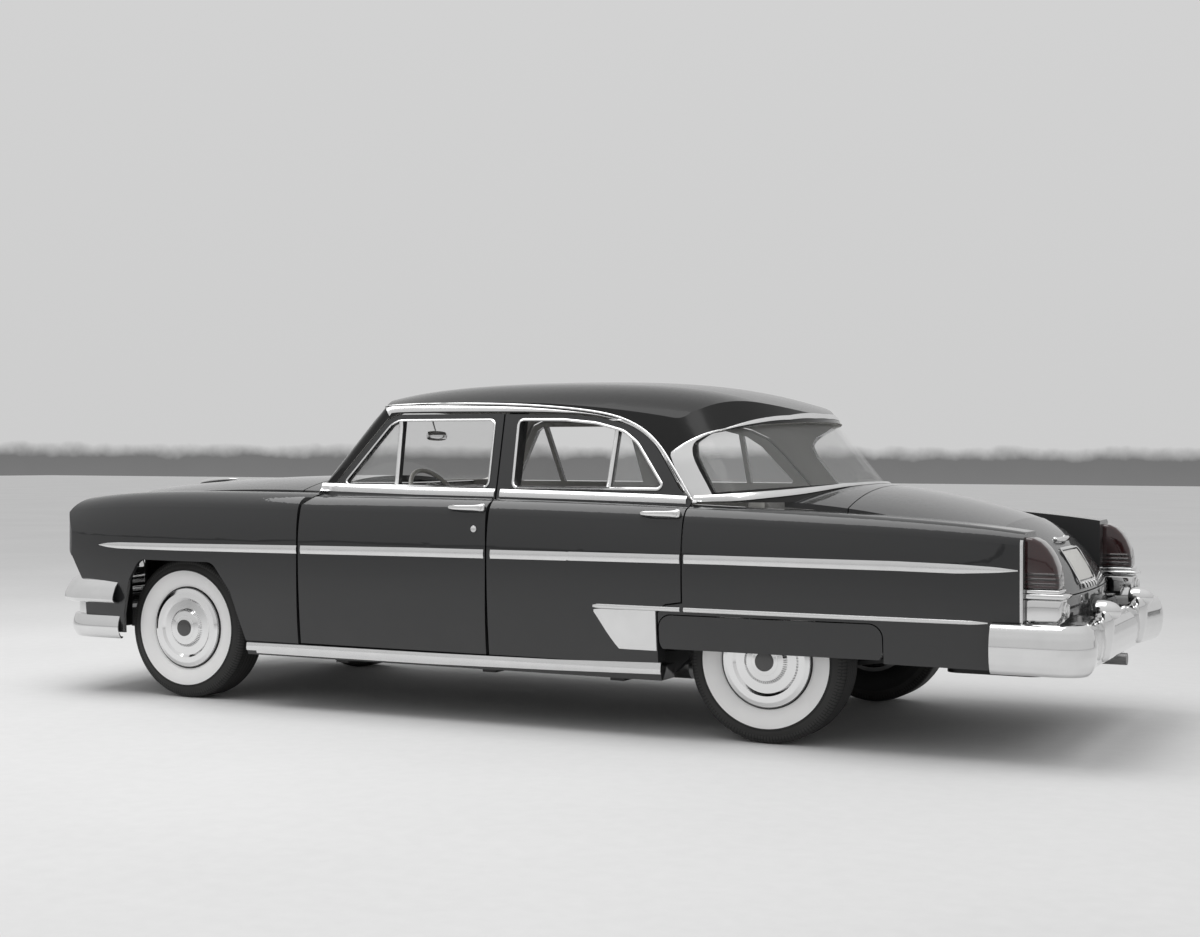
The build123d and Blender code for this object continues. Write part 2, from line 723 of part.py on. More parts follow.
def bumper_bar(tip_x, half_width, corner_radius, end_x, base_z, steps):
    """A bar swept from one side of the car round its end; steps lists its faces as (height, bulge)."""
    way = 1 if tip_x > end_x else -1
    middle_x = tip_x - way * max(bulge for _, bulge in steps)
    path = FilletPolyline((end_x, half_width, base_z), (middle_x - way * bumper_bow, half_width, base_z),
                          (middle_x, 0, base_z), (middle_x - way * bumper_bow, -half_width, base_z),
                          (end_x, -half_width, base_z), radius=[corner_radius, 2500, corner_radius])
    edges, low = [], 0.0
    for height, bulge in steps:
        high = low + way * height
        if bulge:
            edges.append(ThreePointArc((0, low), (bulge, (low + high) / 2), (0, high)))
        else:
            edges += [Line((0, low), (-5, low)), Line((-5, low), (-5, high)), Line((-5, high), (0, high))]
        low = high
    edges += [Line((0, low), (-bumper_wall, low)), Line((-bumper_wall, low), (-bumper_wall, 0)),
              Line((-bumper_wall, 0), (0, 0))]
    start = Plane(origin=(end_x, half_width, base_z), x_dir=(0, 1, 0), z_dir=(way, 0, 0))
    return sweep(start * make_face(Wire(edges)), path=path)


def guard(base_x, tip_x, y, z, radius):
    """A bullet-nosed guard, turned about a line along the car."""
    length = abs(tip_x - base_x)
    shoulder = (length - radius, radius)
    profile = Wire([Line((0, 0), (0, radius)), Line((0, radius), shoulder),
                    TangentArc(shoulder, (length, 0), tangent=(1, 0)), Line((length, 0), (0, 0))])
    turned = revolve(make_face(profile), axis=Axis.X)
    return Pos(base_x, y, z) * (turned if tip_x > base_x else Rot(0, 0, 180) * turned)


def front_bumper():
    bumper = bumper_bar(front_tip, 956, 170, 2161, 288, [(112, 24), (70, 0), (130, 27)])
    for side in (1, -1):
        bumper += guard(hood_tip_x, front_tip, side * guard_y, 560, 66)
        bumper += block(2500 + seat_gap, 2680, side * 392, side * 440, 310, 390)
    return bumper


def rear_bumper():
    bumper = bumper_bar(rear_tip + 28, 942, 170, -2310, 372, [(148, 27)])
    for side in (1, -1):
        bumper += guard(-2600, rear_tip, side * guard_y, 540, 62)
        bumper += block(-2665, -2480 - seat_gap, side * 392, side * 440, 380, 440)
    return bumper


# Grille and lamps

def grille():
    half = hood_half(2556) + panel_gap - seat_gap
    upper_bar = [(2470, 846), (2540, 838), (2556, 858), (2540, 876), (2470, 872)]
    main_bar = [(2490, 690), (2548, 680), (2572, 712), (2572, 738), (2548, 770), (2490, 760)]
    lower_bar = [(2400, 600), (2470, 596), (2486, 612), (2470, 630), (2400, 626)]
    upright_bar = [(2440, 604), (2462, 604), (2520, 760), (2530, 860), (2500, 860), (2490, 760)]
    bars = slab_y(upper_bar, -half, half) + slab_y(main_bar, -half, half) + slab_y(lower_bar, -half, half)
    count, span, bar_half = 25, 1080, 5
    for index in range(count):
        y = -span / 2 + index * span / (count - 1)
        bars += slab_y(upright_bar, y - bar_half, y + bar_half)
    return bars


def headlamp_bezel():
    outer, inner = lamp_radius - seat_gap, lens_radius
    profile = Wire([Line((0, inner), (0, outer)), Line((0, outer), (78, outer)),
                    ThreePointArc((78, outer), (94, 100), (90, inner)), Line((90, inner), (0, inner))])
    return Pos(lamp_x + seat_gap, lamp_y, lamp_z) * revolve(make_face(profile), axis=Axis.X)


def headlamp():
    edge = lens_radius - seat_gap
    profile = Wire([Line((0, 0), (0, edge)), Line((0, edge), (70, edge)),
                    TangentArc((94, 0), (70, edge), tangent=(0, 1)), Line((94, 0), (0, 0))])
    return Pos(lamp_x + seat_gap, lamp_y, lamp_z) * revolve(make_face(profile), axis=Axis.X)


def tail_lamp_lens():
    base_x, back_x = tail_x - seat_gap, tail_x - 92
    face = make_face(Wire([
        Line((base_x, tail_lens_foot_z), (base_x, tail_lens_top_z)),
        ThreePointArc((base_x, tail_lens_top_z), (tail_x - 66, 858), (back_x, 760)),
        Line((back_x, 760), (back_x, tail_lens_foot_z)),
        Line((back_x, tail_lens_foot_z), (base_x, tail_lens_foot_z)),
    ]))
    return extrude(Plane.XZ.offset(-770) * face, amount=-120)


def tail_lamp_housing():
    base_x, top = tail_x - seat_gap, tail_lens_foot_z - seat_gap
    return slab_y([(base_x, tail_base_z), (tail_x - 96, tail_base_z + 4), (tail_x - 104, 600), (tail_x - 98, 690),
                   (tail_x - 98, top), (base_x, top)], 764, 896)


# Cabin

def along_column(distance):
    """A point on the steering column, counted back from the middle of the steering wheel."""
    return wheel_hub - column_dir * distance


def dashboard():
    front_x = firewall_x - seat_gap
    dash = slab_y([(front_x, 1010), (front_x, 1066), (930, 1070), (830, 1044), (796, 960), (812, 880), (900, 850),
                   (front_x, 860)], -770, 770)
    low = dash & block(700, 1200, -770, 770, 800, 1010)
    high = dash & glasshouse_form(post_wall + 1, 1000) & block(700, 1200, -640, 640, 1009, 1100)
    return low + high - rod(column_foot, wheel_hub, column_tube_radius + panel_gap)


def steering_column():
    behind_firewall = block(0, firewall_x - seat_gap, 0, 900, 300, 1300)
    tube_space = block(900, 1200, 0, 900, 300, 840)
    column = rod(column_foot, along_column(30 + seat_gap), column_radius) & behind_firewall
    return column + (rod(column_foot, along_column(300), column_tube_radius) & behind_firewall & tube_space)


def steering_wheel():
    wheel = Torus(steering_radius, 11) + Cylinder(34, 60)
    wheel += Pos(0, 0, -6) * Box(2 * steering_radius, 26, 9)
    return Plane(origin=wheel_hub, z_dir=column_dir, x_dir=(0, 1, 0)) * wheel


seat_base_z = 451.0


def seat(front_x, back_x, base_z, cushion_z, back_top, back_lean, half):
    """A bench: a thick cushion and a leaning back, as one soft solid."""
    outline = [(front_x, base_z), (front_x + 14, cushion_z - 30), (front_x - 30, cushion_z),
               (back_x + 150, cushion_z - 26), (back_x + 150 - back_lean, back_top - 20),
               (back_x + 120 - back_lean, back_top), (back_x + 40 - back_lean, back_top),
               (back_x, base_z)]
    return slab_y(outline, -half, half, 18)


def front_seat():
    return seat(330, -330, seat_base_z, 690, 1075, 90, 690)


def seat_frame():
    return block(-260, 290, 140, 600, floor_z + floor_wall + seat_gap, seat_base_z - seat_gap)


def rear_seat():
    bench = seat(-560, -1180, platform_z + floor_wall + seat_gap, 712, 1072, 80, well_inner_y - 4)
    wide_back = [(-1094, 830), (-1108, 1052), (-1138, 1072), (-1216, 1072), (-1196, 830)]
    return bench + slab_y(wide_back, -690, 690, 16)


def parcel_shelf():
    return block(-1590, -1213.1, -640, 640, 970, 984)


# Engine, gearbox, axles and exhaust

def engine():
    bottom_z = 400 + seat_gap
    unit = block(1330, 2060, -235, 235, bottom_z, 860)
    unit += block(1500, 1620, -rail_y - rail_width, rail_y + rail_width, bottom_z, 430)
    return unit + upright(1700, 0, 190, 850, 930)


def gearbox_and_shaft():
    outline = [(-100, 285 + seat_gap), (100, 285 + seat_gap), (110, 340), (108, 415), (60, 432), (-60, 432),
               (-108, 415), (-110, 340)]
    return slab_x(outline, 840, 1330 - seat_gap) + rod((850, 0, 345), (rear_axle_x + 115, 0, axle_z), 38)


def rear_axle():
    reach = wheel_y - 30
    axle = rod((rear_axle_x, -reach, axle_z), (rear_axle_x, reach, axle_z), 42)
    axle += lengthwise(rear_axle_x, 0, axle_z, 125, 220)
    for side in (1, -1):
        axle += crosswise(rear_axle_x, side * (wheel_y - 62), axle_z, brake_radius, brake_width)
        axle += crosswise(rear_axle_x, side * (wheel_y - 15), axle_z, stub_radius, 90)
    return axle


def rear_spring():
    under_axle = axle_z - 42 - seat_gap
    outline = [(-762, 352), (-806, 352), (-1240, 297), (-1404, 297), (-1961, 372), (-2006, 372), (-2006, 392),
               (-1961, 392), (-1404, under_axle), (-1240, under_axle), (-806, 372), (-762, 372)]
    return slab_y(outline, spring_y - spring_half, spring_y + spring_half)


def fuel_tank():
    return slab_z([(-1960, -330), (-2380, -330), (-2380, 330), (-1960, 330)], 290, boot_floor_z - seat_gap, 60)


def exhaust():
    """The pipe from the engine's side, the silencer and the tail pipe over the axle."""
    front_path = FilletPolyline((1460, -261.3, 520), (1400, -261.3, 190), (300, -261.3, 190), (20, -240, 190),
                                radius=60)
    tail_path = FilletPolyline((-530, -240, 190), (-800, -240, 190), (-1080, -300, 448), (-1560, -300, 448),
                               (-1820, -480, 300), (-2600, -480, 300), radius=70)
    system = rod((20, -240, 190), (-530, -240, 190), 76)
    for path, radius in ((front_path, 26), (tail_path, 25)):
        system += sweep(Plane(origin=path @ 0, z_dir=path % 0) * Circle(radius), path=path)
    tip = tail_path @ 1
    return system + rod(tip + Vector(outlet_length, 0, 0), tip, outlet_radius)


# Front suspension and steering

def wishbone(half_base, base_y, half_tip, z0):
    """A suspension arm: a wide inner end and a narrow outer end at the kingpin."""
    x, tip_y = front_axle_x, kingpin_y + 12
    return slab_z([(x - half_base, base_y), (x + half_base, base_y), (x + half_tip, kingpin_y - 25),
                   (x + half_tip - 4, tip_y), (x - half_tip + 4, tip_y), (x - half_tip, kingpin_y - 25)],
                  z0, z0 + arm_wall)


def front_suspension():
    return pair(wishbone(150, 350, 22, arm_low_z + arm_lap - arm_wall) + wishbone(100, 450, 20, arm_high_z - arm_lap))


def knuckle():
    """The left steering knuckle: kingpin post, stub axle, brake plate and steering arm."""
    post_low, post_high = arm_low_z + arm_lap + seat_gap, arm_high_z - arm_lap - seat_gap
    arm_z, arm_top_z = 296, 316
    body = upright(front_axle_x, kingpin_y, 24, post_low, post_high)
    body += rod((front_axle_x, kingpin_y, axle_z), (front_axle_x, wheel_y + 30, axle_z), stub_radius)
    body += crosswise(front_axle_x, wheel_y - 55, axle_z, brake_radius, brake_width)
    body += slab_z([(front_axle_x, kingpin_y - 20), (steer_pin_x, steer_pin_y - 14), (steer_pin_x, steer_pin_y + 14),
                    (front_axle_x, kingpin_y + 20)], arm_z, arm_top_z)
    body += upright(steer_pin_x, steer_pin_y, 14, arm_z, arm_top_z)
    return body + upright(steer_pin_x, steer_pin_y, steer_pin_radius, tie_rod_z - 17, arm_top_z)


def tie_rod():
    bar = rod((steer_pin_x, -steer_pin_y, tie_rod_z), (steer_pin_x, steer_pin_y, tie_rod_z), 11)
    for side in (1, -1):
        bar += upright(steer_pin_x, side * steer_pin_y, 17, tie_rod_z - 12, 296 - seat_gap)
    for side in (1, -1):
        bar -= upright(steer_pin_x, side * steer_pin_y, steer_pin_radius + pin_clearance, 200, 400)
    return bar


# Wheels and tyres

def turned_wheel(profiles, side):
    """Rings turned about the axle from (out, radius) outlines, out counted away from the car."""
    rings = [revolve(make_face(Polyline(*[(side * out, radius) for out, radius in profile], close=True)), axis=Axis.X)
             for profile in profiles]
    return Rot(0, 0, 90) * (rings[0] + rings[1] + rings[2])


def wheel(side):
    """A pressed rim, its disc and the bright cover."""
    w, seat_r, flange_r = rim_half_width, rim_seat_radius, rim_flange_radius
    rim = [(-w, flange_r), (-w + 8, flange_r), (-w + 10, seat_r), (-42, 189), (-34, 168), (20, 168), (28, 189),
           (w - 10, seat_r), (w - 8, flange_r), (w, flange_r), (w, 196), (w - 2, 185), (32, 183), (24, 161),
           (-38, 161), (-46, 183), (-w, 184)]
    disc = [(22, 162), (16, 150), (-6, 146), (-6, hub_radius + 4), (-24, hub_radius), (-24, hub_bore), (44, hub_bore),
            (44, hub_radius - 12), (12, hub_radius), (6, 60), (6, 140), (24, 150), (30, 162)]
    cover = [(w - 1, 196), (w + 5, 196), (w + 12, 178), (w + 12, 150), (w + 3, 138), (w + 5, 98), (w + 18, 84),
             (w + 24, 44), (w + 24, 0), (w + 19, 0), (w + 19, 42), (w + 13, 82), (w, 94), (w - 2, 140), (w + 6, 152),
             (w + 6, 176), (w - 1, 190)]
    return turned_wheel([rim, disc, cover], side)


def tyre():
    bead, lip = rim_seat_radius + seat_gap, rim_flange_radius + 3
    shoulder = (93, 322)
    section = Wire([
        Line((-77, bead), (77, bead)),
        Line((77, bead), (80, lip)),
        ThreePointArc((80, lip), (tyre_half_width, 268), shoulder),
        ThreePointArc(shoulder, (86, 344), (tread_half_width, tyre_radius)),
        Line((tread_half_width, tyre_radius), (-tread_half_width, tyre_radius)),
        ThreePointArc((-tread_half_width, tyre_radius), (-86, 344), (-shoulder[0], shoulder[1])),
        ThreePointArc((-shoulder[0], shoulder[1]), (-tyre_half_width, 268), (-80, lip)),
        Line((-80, lip), (-77, bead)),
    ])
    return Rot(0, 0, 90) * revolve(make_face(section), axis=Axis.X)


nodes = {
    "roof_panel": roof_panel(),
    "windscreen": biggest(pane_shell & windscreen_slab(-seat_gap)),
    "rear_window": biggest(pane_shell & backlight_slab(-seat_gap)),
    "fender_skirts": pair(fender_skirt()),
    "hood_panel": hood_panel(),
    "cowl_panel": cowl_panel(),
    "deck_panel": deck_panel(),
    "luggage_lid": luggage_lid(),
    "rear_panel": rear_panel(),
    "chassis_frame": chassis_frame(),
    "floor_pan": floor_pan(),
    "rocker_panels": pair(rocker_panel()),
    "centre_pillars": pair(centre_pillar()),
    "engine_bay_panels": engine_bay_panels(),
    "radiator": block(2250, 2296 - seat_gap, -320, 320, 440, 860),
    "front_bumper": front_bumper(),
    "rear_bumper": rear_bumper(),
    "grille": grille(),
    "headlamp_bezels": pair(headlamp_bezel()),
    "headlamps": pair(headlamp()),
    "tail_lamp_lenses": pair(tail_lamp_lens()),
    "tail_lamp_housings": pair(tail_lamp_housing()),
    "dashboard": dashboard(),
    "steering_column": steering_column(),
    "steering_wheel": steering_wheel(),
    "front_seat": front_seat(),
    "front_seat_frame": pair(seat_frame()),
    "rear_seat": rear_seat(),
    "parcel_shelf": parcel_shelf(),
    "engine": engine(),
    "gearbox_and_shaft": gearbox_and_shaft(),
    "rear_axle": rear_axle(),
    "rear_springs": pair(rear_spring()),
    "fuel_tank": fuel_tank(),
    "exhaust": exhaust(),
    "front_suspension": front_suspension(),
    "tie_rod": tie_rod(),
}
left_nodes = {
    "front_door": door_shell(front_door_outline, front_window, front_door_nose_x, vent_bar, rear_door_nose_x),
    "rear_door": door_shell(rear_door_outline, rear_window_hole, rear_door_nose_x, quarter_bar),
    "front_door_glass": door_pane(vent_pane, vent_bar),
    "rear_door_glass": door_pane(quarter_pane, quarter_bar),
    "front_fender": front_fender(),
    "quarter_panel": quarter_panel(),
    "knuckle": knuckle(),
}
for name, shape in left_nodes.items():
    nodes[f"{name}_left"] = shape
    nodes[f"{name}_right"] = mirrored(shape)
for place, x, side in (("front_left", front_axle_x, 1), ("front_right", front_axle_x, -1),
                       ("rear_left", rear_axle_x, 1), ("rear_right", rear_axle_x, -1)):
    spot = Pos(x, side * wheel_y, axle_z)
    nodes[f"wheel_{place}"] = spot * wheel(side)
    nodes[f"tyre_{place}"] = spot * tyre()

os.makedirs("parts", exist_ok=True)
for name, shape in nodes.items():
    export_step(shape, f"parts/{name}.step")
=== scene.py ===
# %% [markdown]
# # A 1950s four-door sedan: looks for a finished frame
# The shapes, hinges and wheels of this car come from its CAD model and stay as they are, apart
# from the bumpers, tail lamps and seats, which get finer forms here. This file gives each panel
# its finish, adds the bright mouldings and small fittings that ride on the parts, and lights it.

# %% Load the frame and keep its size
from math import cos, pi, radians, sin, tan

import bpy
from mathutils import Matrix, Vector


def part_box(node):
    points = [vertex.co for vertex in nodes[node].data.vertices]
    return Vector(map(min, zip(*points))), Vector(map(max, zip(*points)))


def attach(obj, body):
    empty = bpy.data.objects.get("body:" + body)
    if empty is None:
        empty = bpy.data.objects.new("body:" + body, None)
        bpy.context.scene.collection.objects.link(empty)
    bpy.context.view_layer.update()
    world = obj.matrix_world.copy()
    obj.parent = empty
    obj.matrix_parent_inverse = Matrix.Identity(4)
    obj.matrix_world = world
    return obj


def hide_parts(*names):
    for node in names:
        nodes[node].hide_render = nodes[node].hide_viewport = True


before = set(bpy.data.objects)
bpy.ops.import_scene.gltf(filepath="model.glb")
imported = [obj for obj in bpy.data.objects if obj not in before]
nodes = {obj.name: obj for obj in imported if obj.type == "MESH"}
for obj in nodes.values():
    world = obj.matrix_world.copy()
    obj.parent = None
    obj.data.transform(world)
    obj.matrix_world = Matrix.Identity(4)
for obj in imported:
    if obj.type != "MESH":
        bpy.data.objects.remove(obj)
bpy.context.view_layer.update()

print("CAD nodes:", len(nodes))

# %% [markdown]
# ## The camera
# The photograph was taken from about eye height, some nine metres off the left rear corner, with
# a lens near 52 mm. The camera is placed by its own axes, because a turned matrix holds the small
# roll of the picture better than three angles read off a screen.

# %% Place the camera
car_focus = {"spot": (-3.990, 7.8392, 1.2165), "yaw": -1.11177553, "pitch": -0.00551833, "roll": 0.00364534}


def look_axes(yaw, pitch, roll):
    ahead = Vector((cos(pitch) * cos(yaw), cos(pitch) * sin(yaw), sin(pitch)))
    right = ahead.cross(Vector((0, 0, 1))).normalized()
    up = right.cross(ahead)
    return right * cos(roll) + up * sin(roll), up * cos(roll) - right * sin(roll), -ahead


bpy.ops.object.camera_add()
camera = bpy.context.object
focal_pixels, picture_width = 1748.12, 1200
camera.data.sensor_width = 36
camera.data.lens = 36 * focal_pixels / picture_width
turn = Matrix(look_axes(car_focus["yaw"], car_focus["pitch"], car_focus["roll"])).transposed().to_4x4()
camera.matrix_world = Matrix.Translation(car_focus["spot"]) @ turn
bpy.context.scene.camera = camera
bpy.context.scene.view_settings.view_transform = "Standard"
print("lens", round(camera.data.lens, 1), "mm")

# %% [markdown]
# ## Sums on sockets
# A procedural finish is a chain of small sums on the place of a point. Written node by node it is
# long and hard to read, so one small class holds a socket and lets Python's own signs add the
# Math nodes. Any other node comes from its one method, node().

# %% A socket that can be added and multiplied
class Reading:
    """One output socket of a material's nodes."""

    def __init__(self, tree, socket=None):
        self.tree, self.socket = tree, socket

    def node(self, kind, settings=None, inputs=None, output=0):
        made = self.tree.nodes.new(kind)
        for name, value in (settings or {}).items():
            if name == "stops":
                stops = made.color_ramp.elements
                while len(stops) < len(value):
                    stops.new(0.5)
                for stop, (place, shade) in zip(stops, value):
                    stop.position, stop.color = place, shade
            else:
                setattr(made, name, value)
        for name, value in (inputs or {}).items():
            if isinstance(value, Reading):
                self.tree.links.new(value.socket, made.inputs[name])
            else:
                made.inputs[name].default_value = value
        return Reading(self.tree, made.outputs[output])

    def sum(self, operation, first, second=0.0):
        return self.node("ShaderNodeMath", {"operation": operation}, {0: first, 1: second})

    def __add__(self, other):
        return self.sum("ADD", self, other)

    __radd__ = __add__

    def __sub__(self, other):
        return self.sum("SUBTRACT", self, other)

    def __rsub__(self, other):
        return self.sum("SUBTRACT", other, self)

    def __mul__(self, other):
        return self.sum("MULTIPLY", self, other)

    __rmul__ = __mul__

    def __gt__(self, other):
        return self.sum("GREATER_THAN", self, other)

    def __lt__(self, other):
        return self.sum("LESS_THAN", self, other)

    def power(self, other):
        return self.sum("POWER", self, other)

    def wave(self, pitch):
        """A smooth wave from -1 to 1 that repeats at a pitch in metres."""
        return self.sum("SINE", self * (2 * pi / pitch))

    def size(self):
        return self.sum("ABSOLUTE", self)


# %% Readings of place, noise and colour that the finishes share
def place(space):
    return space.node("ShaderNodeTexCoord", output="Object")


def axes(vector):
    return [vector.node("ShaderNodeSeparateXYZ", inputs={0: vector}, output=way) for way in range(3)]


def facing(space):
    return axes(space.node("ShaderNodeNewGeometry", output="Normal"))


def speckle(space, scale, detail=3.0, spot=None):
    return space.node("ShaderNodeTexNoise", inputs={"Vector": spot or place(space), "Scale": scale, "Detail": detail})


def blend(space, share, low, high):
    """A colour between two colours by a share from 0 to 1."""
    return space.node("ShaderNodeMix", {"data_type": "RGBA", "clamp_factor": True}, {0: share, 6: low, 7: high}, 2)


def relief(space, height, strength=0.3, depth=0.001):
    return space.node("ShaderNodeBump", inputs={"Height": height, "Strength": strength, "Distance": depth})


def tone(value, tint=(1, 1, 1)):
    return (*(value * part for part in tint), 1.0)


def finish(name, recipe, **plain):
    """A material whose recipe returns the sockets that change over the surface."""
    made = bpy.data.materials.new(name)
    made.use_nodes = True
    tree = made.node_tree
    shader = tree.nodes["Principled BSDF"]
    for key, value in plain.items():
        shader.inputs[key.replace("_", " ")].default_value = value
    for key, value in recipe(Reading(tree)).items():
        if isinstance(value, Reading):
            tree.links.new(value.socket, shader.inputs[key])
        else:
            shader.inputs[key].default_value = value
    return made


# %% [markdown]
# ## Paint
# The car wears one dark enamel, with a darker roof. Enamel is a dull colour under clear gloss, so
# the coat does the shining and the colour below stays plain. A trace of dust low on the sides and
# a faint ripple in the coat keep it from looking like plastic. The same panels show cloth or carpet
# inside the cabin, and the finish tells the two sides apart by where a face looks.

# %% Body and roof enamel, with what the cabin side of a panel shows
body_shade = tone(0.019, (0.98, 1.0, 1.04))
roof_shade = tone(0.005)
cream = (1.0, 0.985, 0.95)
roof_z, door_y = 1.05, 0.88


def enamel(shade, inside=None):
    """Paint outside, and cloth where inside() says that a face looks into the cabin."""
    def recipe(space):
        x, y, z = axes(place(space))
        dust = (1.0 - z * 1.5) * speckle(space, 3.0) * 0.2
        colour = blend(space, dust, shade, tone(0.16, (1.0, 0.98, 0.94)))
        ripple = speckle(space, 900.0, 1.0)
        rough = 0.30 + speckle(space, 60.0) * 0.1
        coat = 1.0
        if inside:
            mask = inside(space, x, y, z)
            weave = speckle(space, 2200.0, 2.0)
            colour = blend(space, mask, colour, blend(space, weave, tone(0.66, cream), tone(0.50, cream)))
            rough = rough + mask * 0.5
            coat = 1.0 - mask
            ripple = ripple + mask * weave * 12.0
        return {"Base Color": colour, "Roughness": rough, "Coat Weight": coat,
                "Normal": relief(space, ripple, 0.08, 0.0006)}
    return recipe


def under_roof(space, x, y, z):
    nx, ny, nz = facing(space)
    inward = nx * (x + 0.35) + ny * y + nz * (z - 1.15)
    return (inward < -0.03) * (z > roof_z)


def cabin_side(space, x, y, z):
    return (facing(space)[1] * y < -0.02) * (y.size() < door_y)


gloss = {"Coat_Roughness": 0.03, "Specular_IOR_Level": 0.1}
body_paint = finish("body_enamel", enamel(body_shade), Coat_IOR=1.5, **gloss)
door_paint = finish("door_enamel", enamel(body_shade, cabin_side), Coat_IOR=1.5, **gloss)
roof_paint = finish("roof_enamel", enamel(roof_shade, under_roof), Coat_IOR=1.25, Specular_IOR_Level=0.1,
                    Coat_Roughness=0.14)


# %% [markdown]
# ## Bright metal
# Plated bumpers are near mirrors, while the mouldings and the sail panels are stainless strip with
# a softer shine. Both are full metals; only the roughness and a light hand-polished smear differ.

# %% Plating, stainless strip, plain steel
def polished(rough, smear, shade):
    def recipe(space):
        streak = speckle(space, 14.0, 4.0)
        return {"Base Color": blend(space, streak, tone(shade), tone(shade * 0.9)),
                "Roughness": rough + streak * smear, "Metallic": 1.0}
    return recipe


plating = finish("bumper_plating", polished(0.03, 0.07, 0.82))
stainless = finish("stainless_strip", polished(0.16, 0.12, 0.80))
dull_steel = finish("dull_steel", polished(0.42, 0.2, 0.34))

# %% [markdown]
# ## Glass, lenses, castings and trim
# A pane is a glossy skin that lets nine tenths of the light straight through, so the cabin is lit
# by the sky as a real one is. Lenses get ribs as relief. Castings and trim have a coarser grain
# than paint.

# %% Glass and lenses
def clear(space):
    return {"Roughness": speckle(space, 6.0) * 0.01 + 0.01}


def ribbed(pitch, shade):
    def recipe(space):
        y = axes(place(space))[1]
        return {"Base Color": shade, "Normal": relief(space, y.wave(pitch), 0.6, 0.002)}
    return recipe


def banded(space):
    """Red, with ribs across the lens up to ribs_top."""
    ribs_top, rib_pitch = 0.775, 0.019
    z = axes(place(space))[2]
    low, ribs = z < ribs_top, z.wave(rib_pitch)
    shade = blend(space, low * (ribs > 0.1), (0.022, 0.0015, 0.002, 1), (0.005, 0.0006, 0.0006, 1))
    return {"Base Color": shade, "Normal": relief(space, ribs * low, 0.9, 0.003)}


clear_glass = finish("clear_glass", clear, Base_Color=tone(0.50, (0.98, 1.0, 0.99)), Alpha=0.10,
                     Coat_Weight=1.0)
lamp_glass = finish("lamp_glass", ribbed(0.011, tone(0.75)), Roughness=0.08, Metallic=0.65, Coat_Weight=1.0)
tail_glass = finish("tail_lens_red", banded, Roughness=0.12, Coat_Weight=1.0, Coat_Roughness=0.02)


# %% Castings, carpet, board and interior paint
def grained(shade, rough, grain, spread=0.25, strength=0.3, depth=0.0006):
    def recipe(space):
        fleck = speckle(space, grain, 4.0)
        wide = speckle(space, grain * 0.04, 3.0)
        shade_low = tuple(part * (1 - spread) for part in shade[:3]) + (1.0,)
        return {"Base Color": blend(space, fleck * 0.5 + wide * 0.5, shade_low, shade),
                "Roughness": rough + fleck * 0.12, "Normal": relief(space, fleck, strength, depth)}
    return recipe


chassis_black = finish("chassis_black", grained(tone(0.020), 0.45, 400.0, 0.5))
casting = finish("painted_casting", grained(tone(0.075), 0.5, 260.0, 0.4, 0.6, 0.001))
interior_paint = finish("interior_enamel", grained(tone(0.10, (1, 0.99, 0.96)), 0.3, 700.0, 0.1, 0.05), Coat_Weight=0.6)
ivory = finish("ivory_plastic", grained(tone(0.62, (1.0, 0.985, 0.93)), 0.22, 300.0, 0.06, 0.04), Coat_Weight=0.5)
shelf_cloth = finish("shelf_cloth", grained(tone(0.62, (1.0, 0.99, 0.96)), 0.85, 1500.0, 0.2, 0.5))
pan_z = 0.34


def floor_sides(space):
    """Carpet where the pan's floor looks up into the cabin, and black paint below."""
    up, z = facing(space)[2], axes(place(space))[2]
    inside = (up > 0.3) * (z > pan_z)
    pile = speckle(space, 1300.0, 3.0)
    return {"Base Color": blend(space, inside, tone(0.018), blend(space, pile, tone(0.05), tone(0.10))),
            "Roughness": 0.5 + inside * 0.42, "Normal": relief(space, pile * inside, 0.8, 0.002)}


floor_finish = finish("floor_and_carpet", floor_sides)


# %% [markdown]
# ## Wheels
# A pressed wheel is dark paint with a bright cover clipped on its face. Both are one CAD piece, so
# the finish is chosen by how far a point is from the hub and how far out it stands.

# %% Wheel finish by place, one for each axle and side
hub_y = 743.0
cover_radius, tread_radius, shoulder_radius, half_tread = 0.1975, 0.336, 0.322, 0.052
wall_band = (0.2075, 0.2885)


def round_hub(space, centre, side):
    """Distances from a wheel's middle: forward, up, along the radius and outward."""
    x, y, z = axes(place(space))
    dx, dz = x - centre[0], z - centre[2]
    return dx, dz, (dx * dx + dz * dz).power(0.5), (y - centre[1]) * side


def wheel_finish(name, centre, side):
    def recipe(space):
        radius, out = round_hub(space, centre, side)[2:]
        bright = (out > 0.080) * (radius < cover_radius)
        streak = speckle(space, 30.0, 4.0)
        return {"Base Color": blend(space, bright, tone(0.03), tone(0.82)), "Metallic": bright,
                "Roughness": 0.28 - bright * 0.22 + streak * 0.06, "Coat Weight": 1.0 - bright}
    return finish(name, recipe)
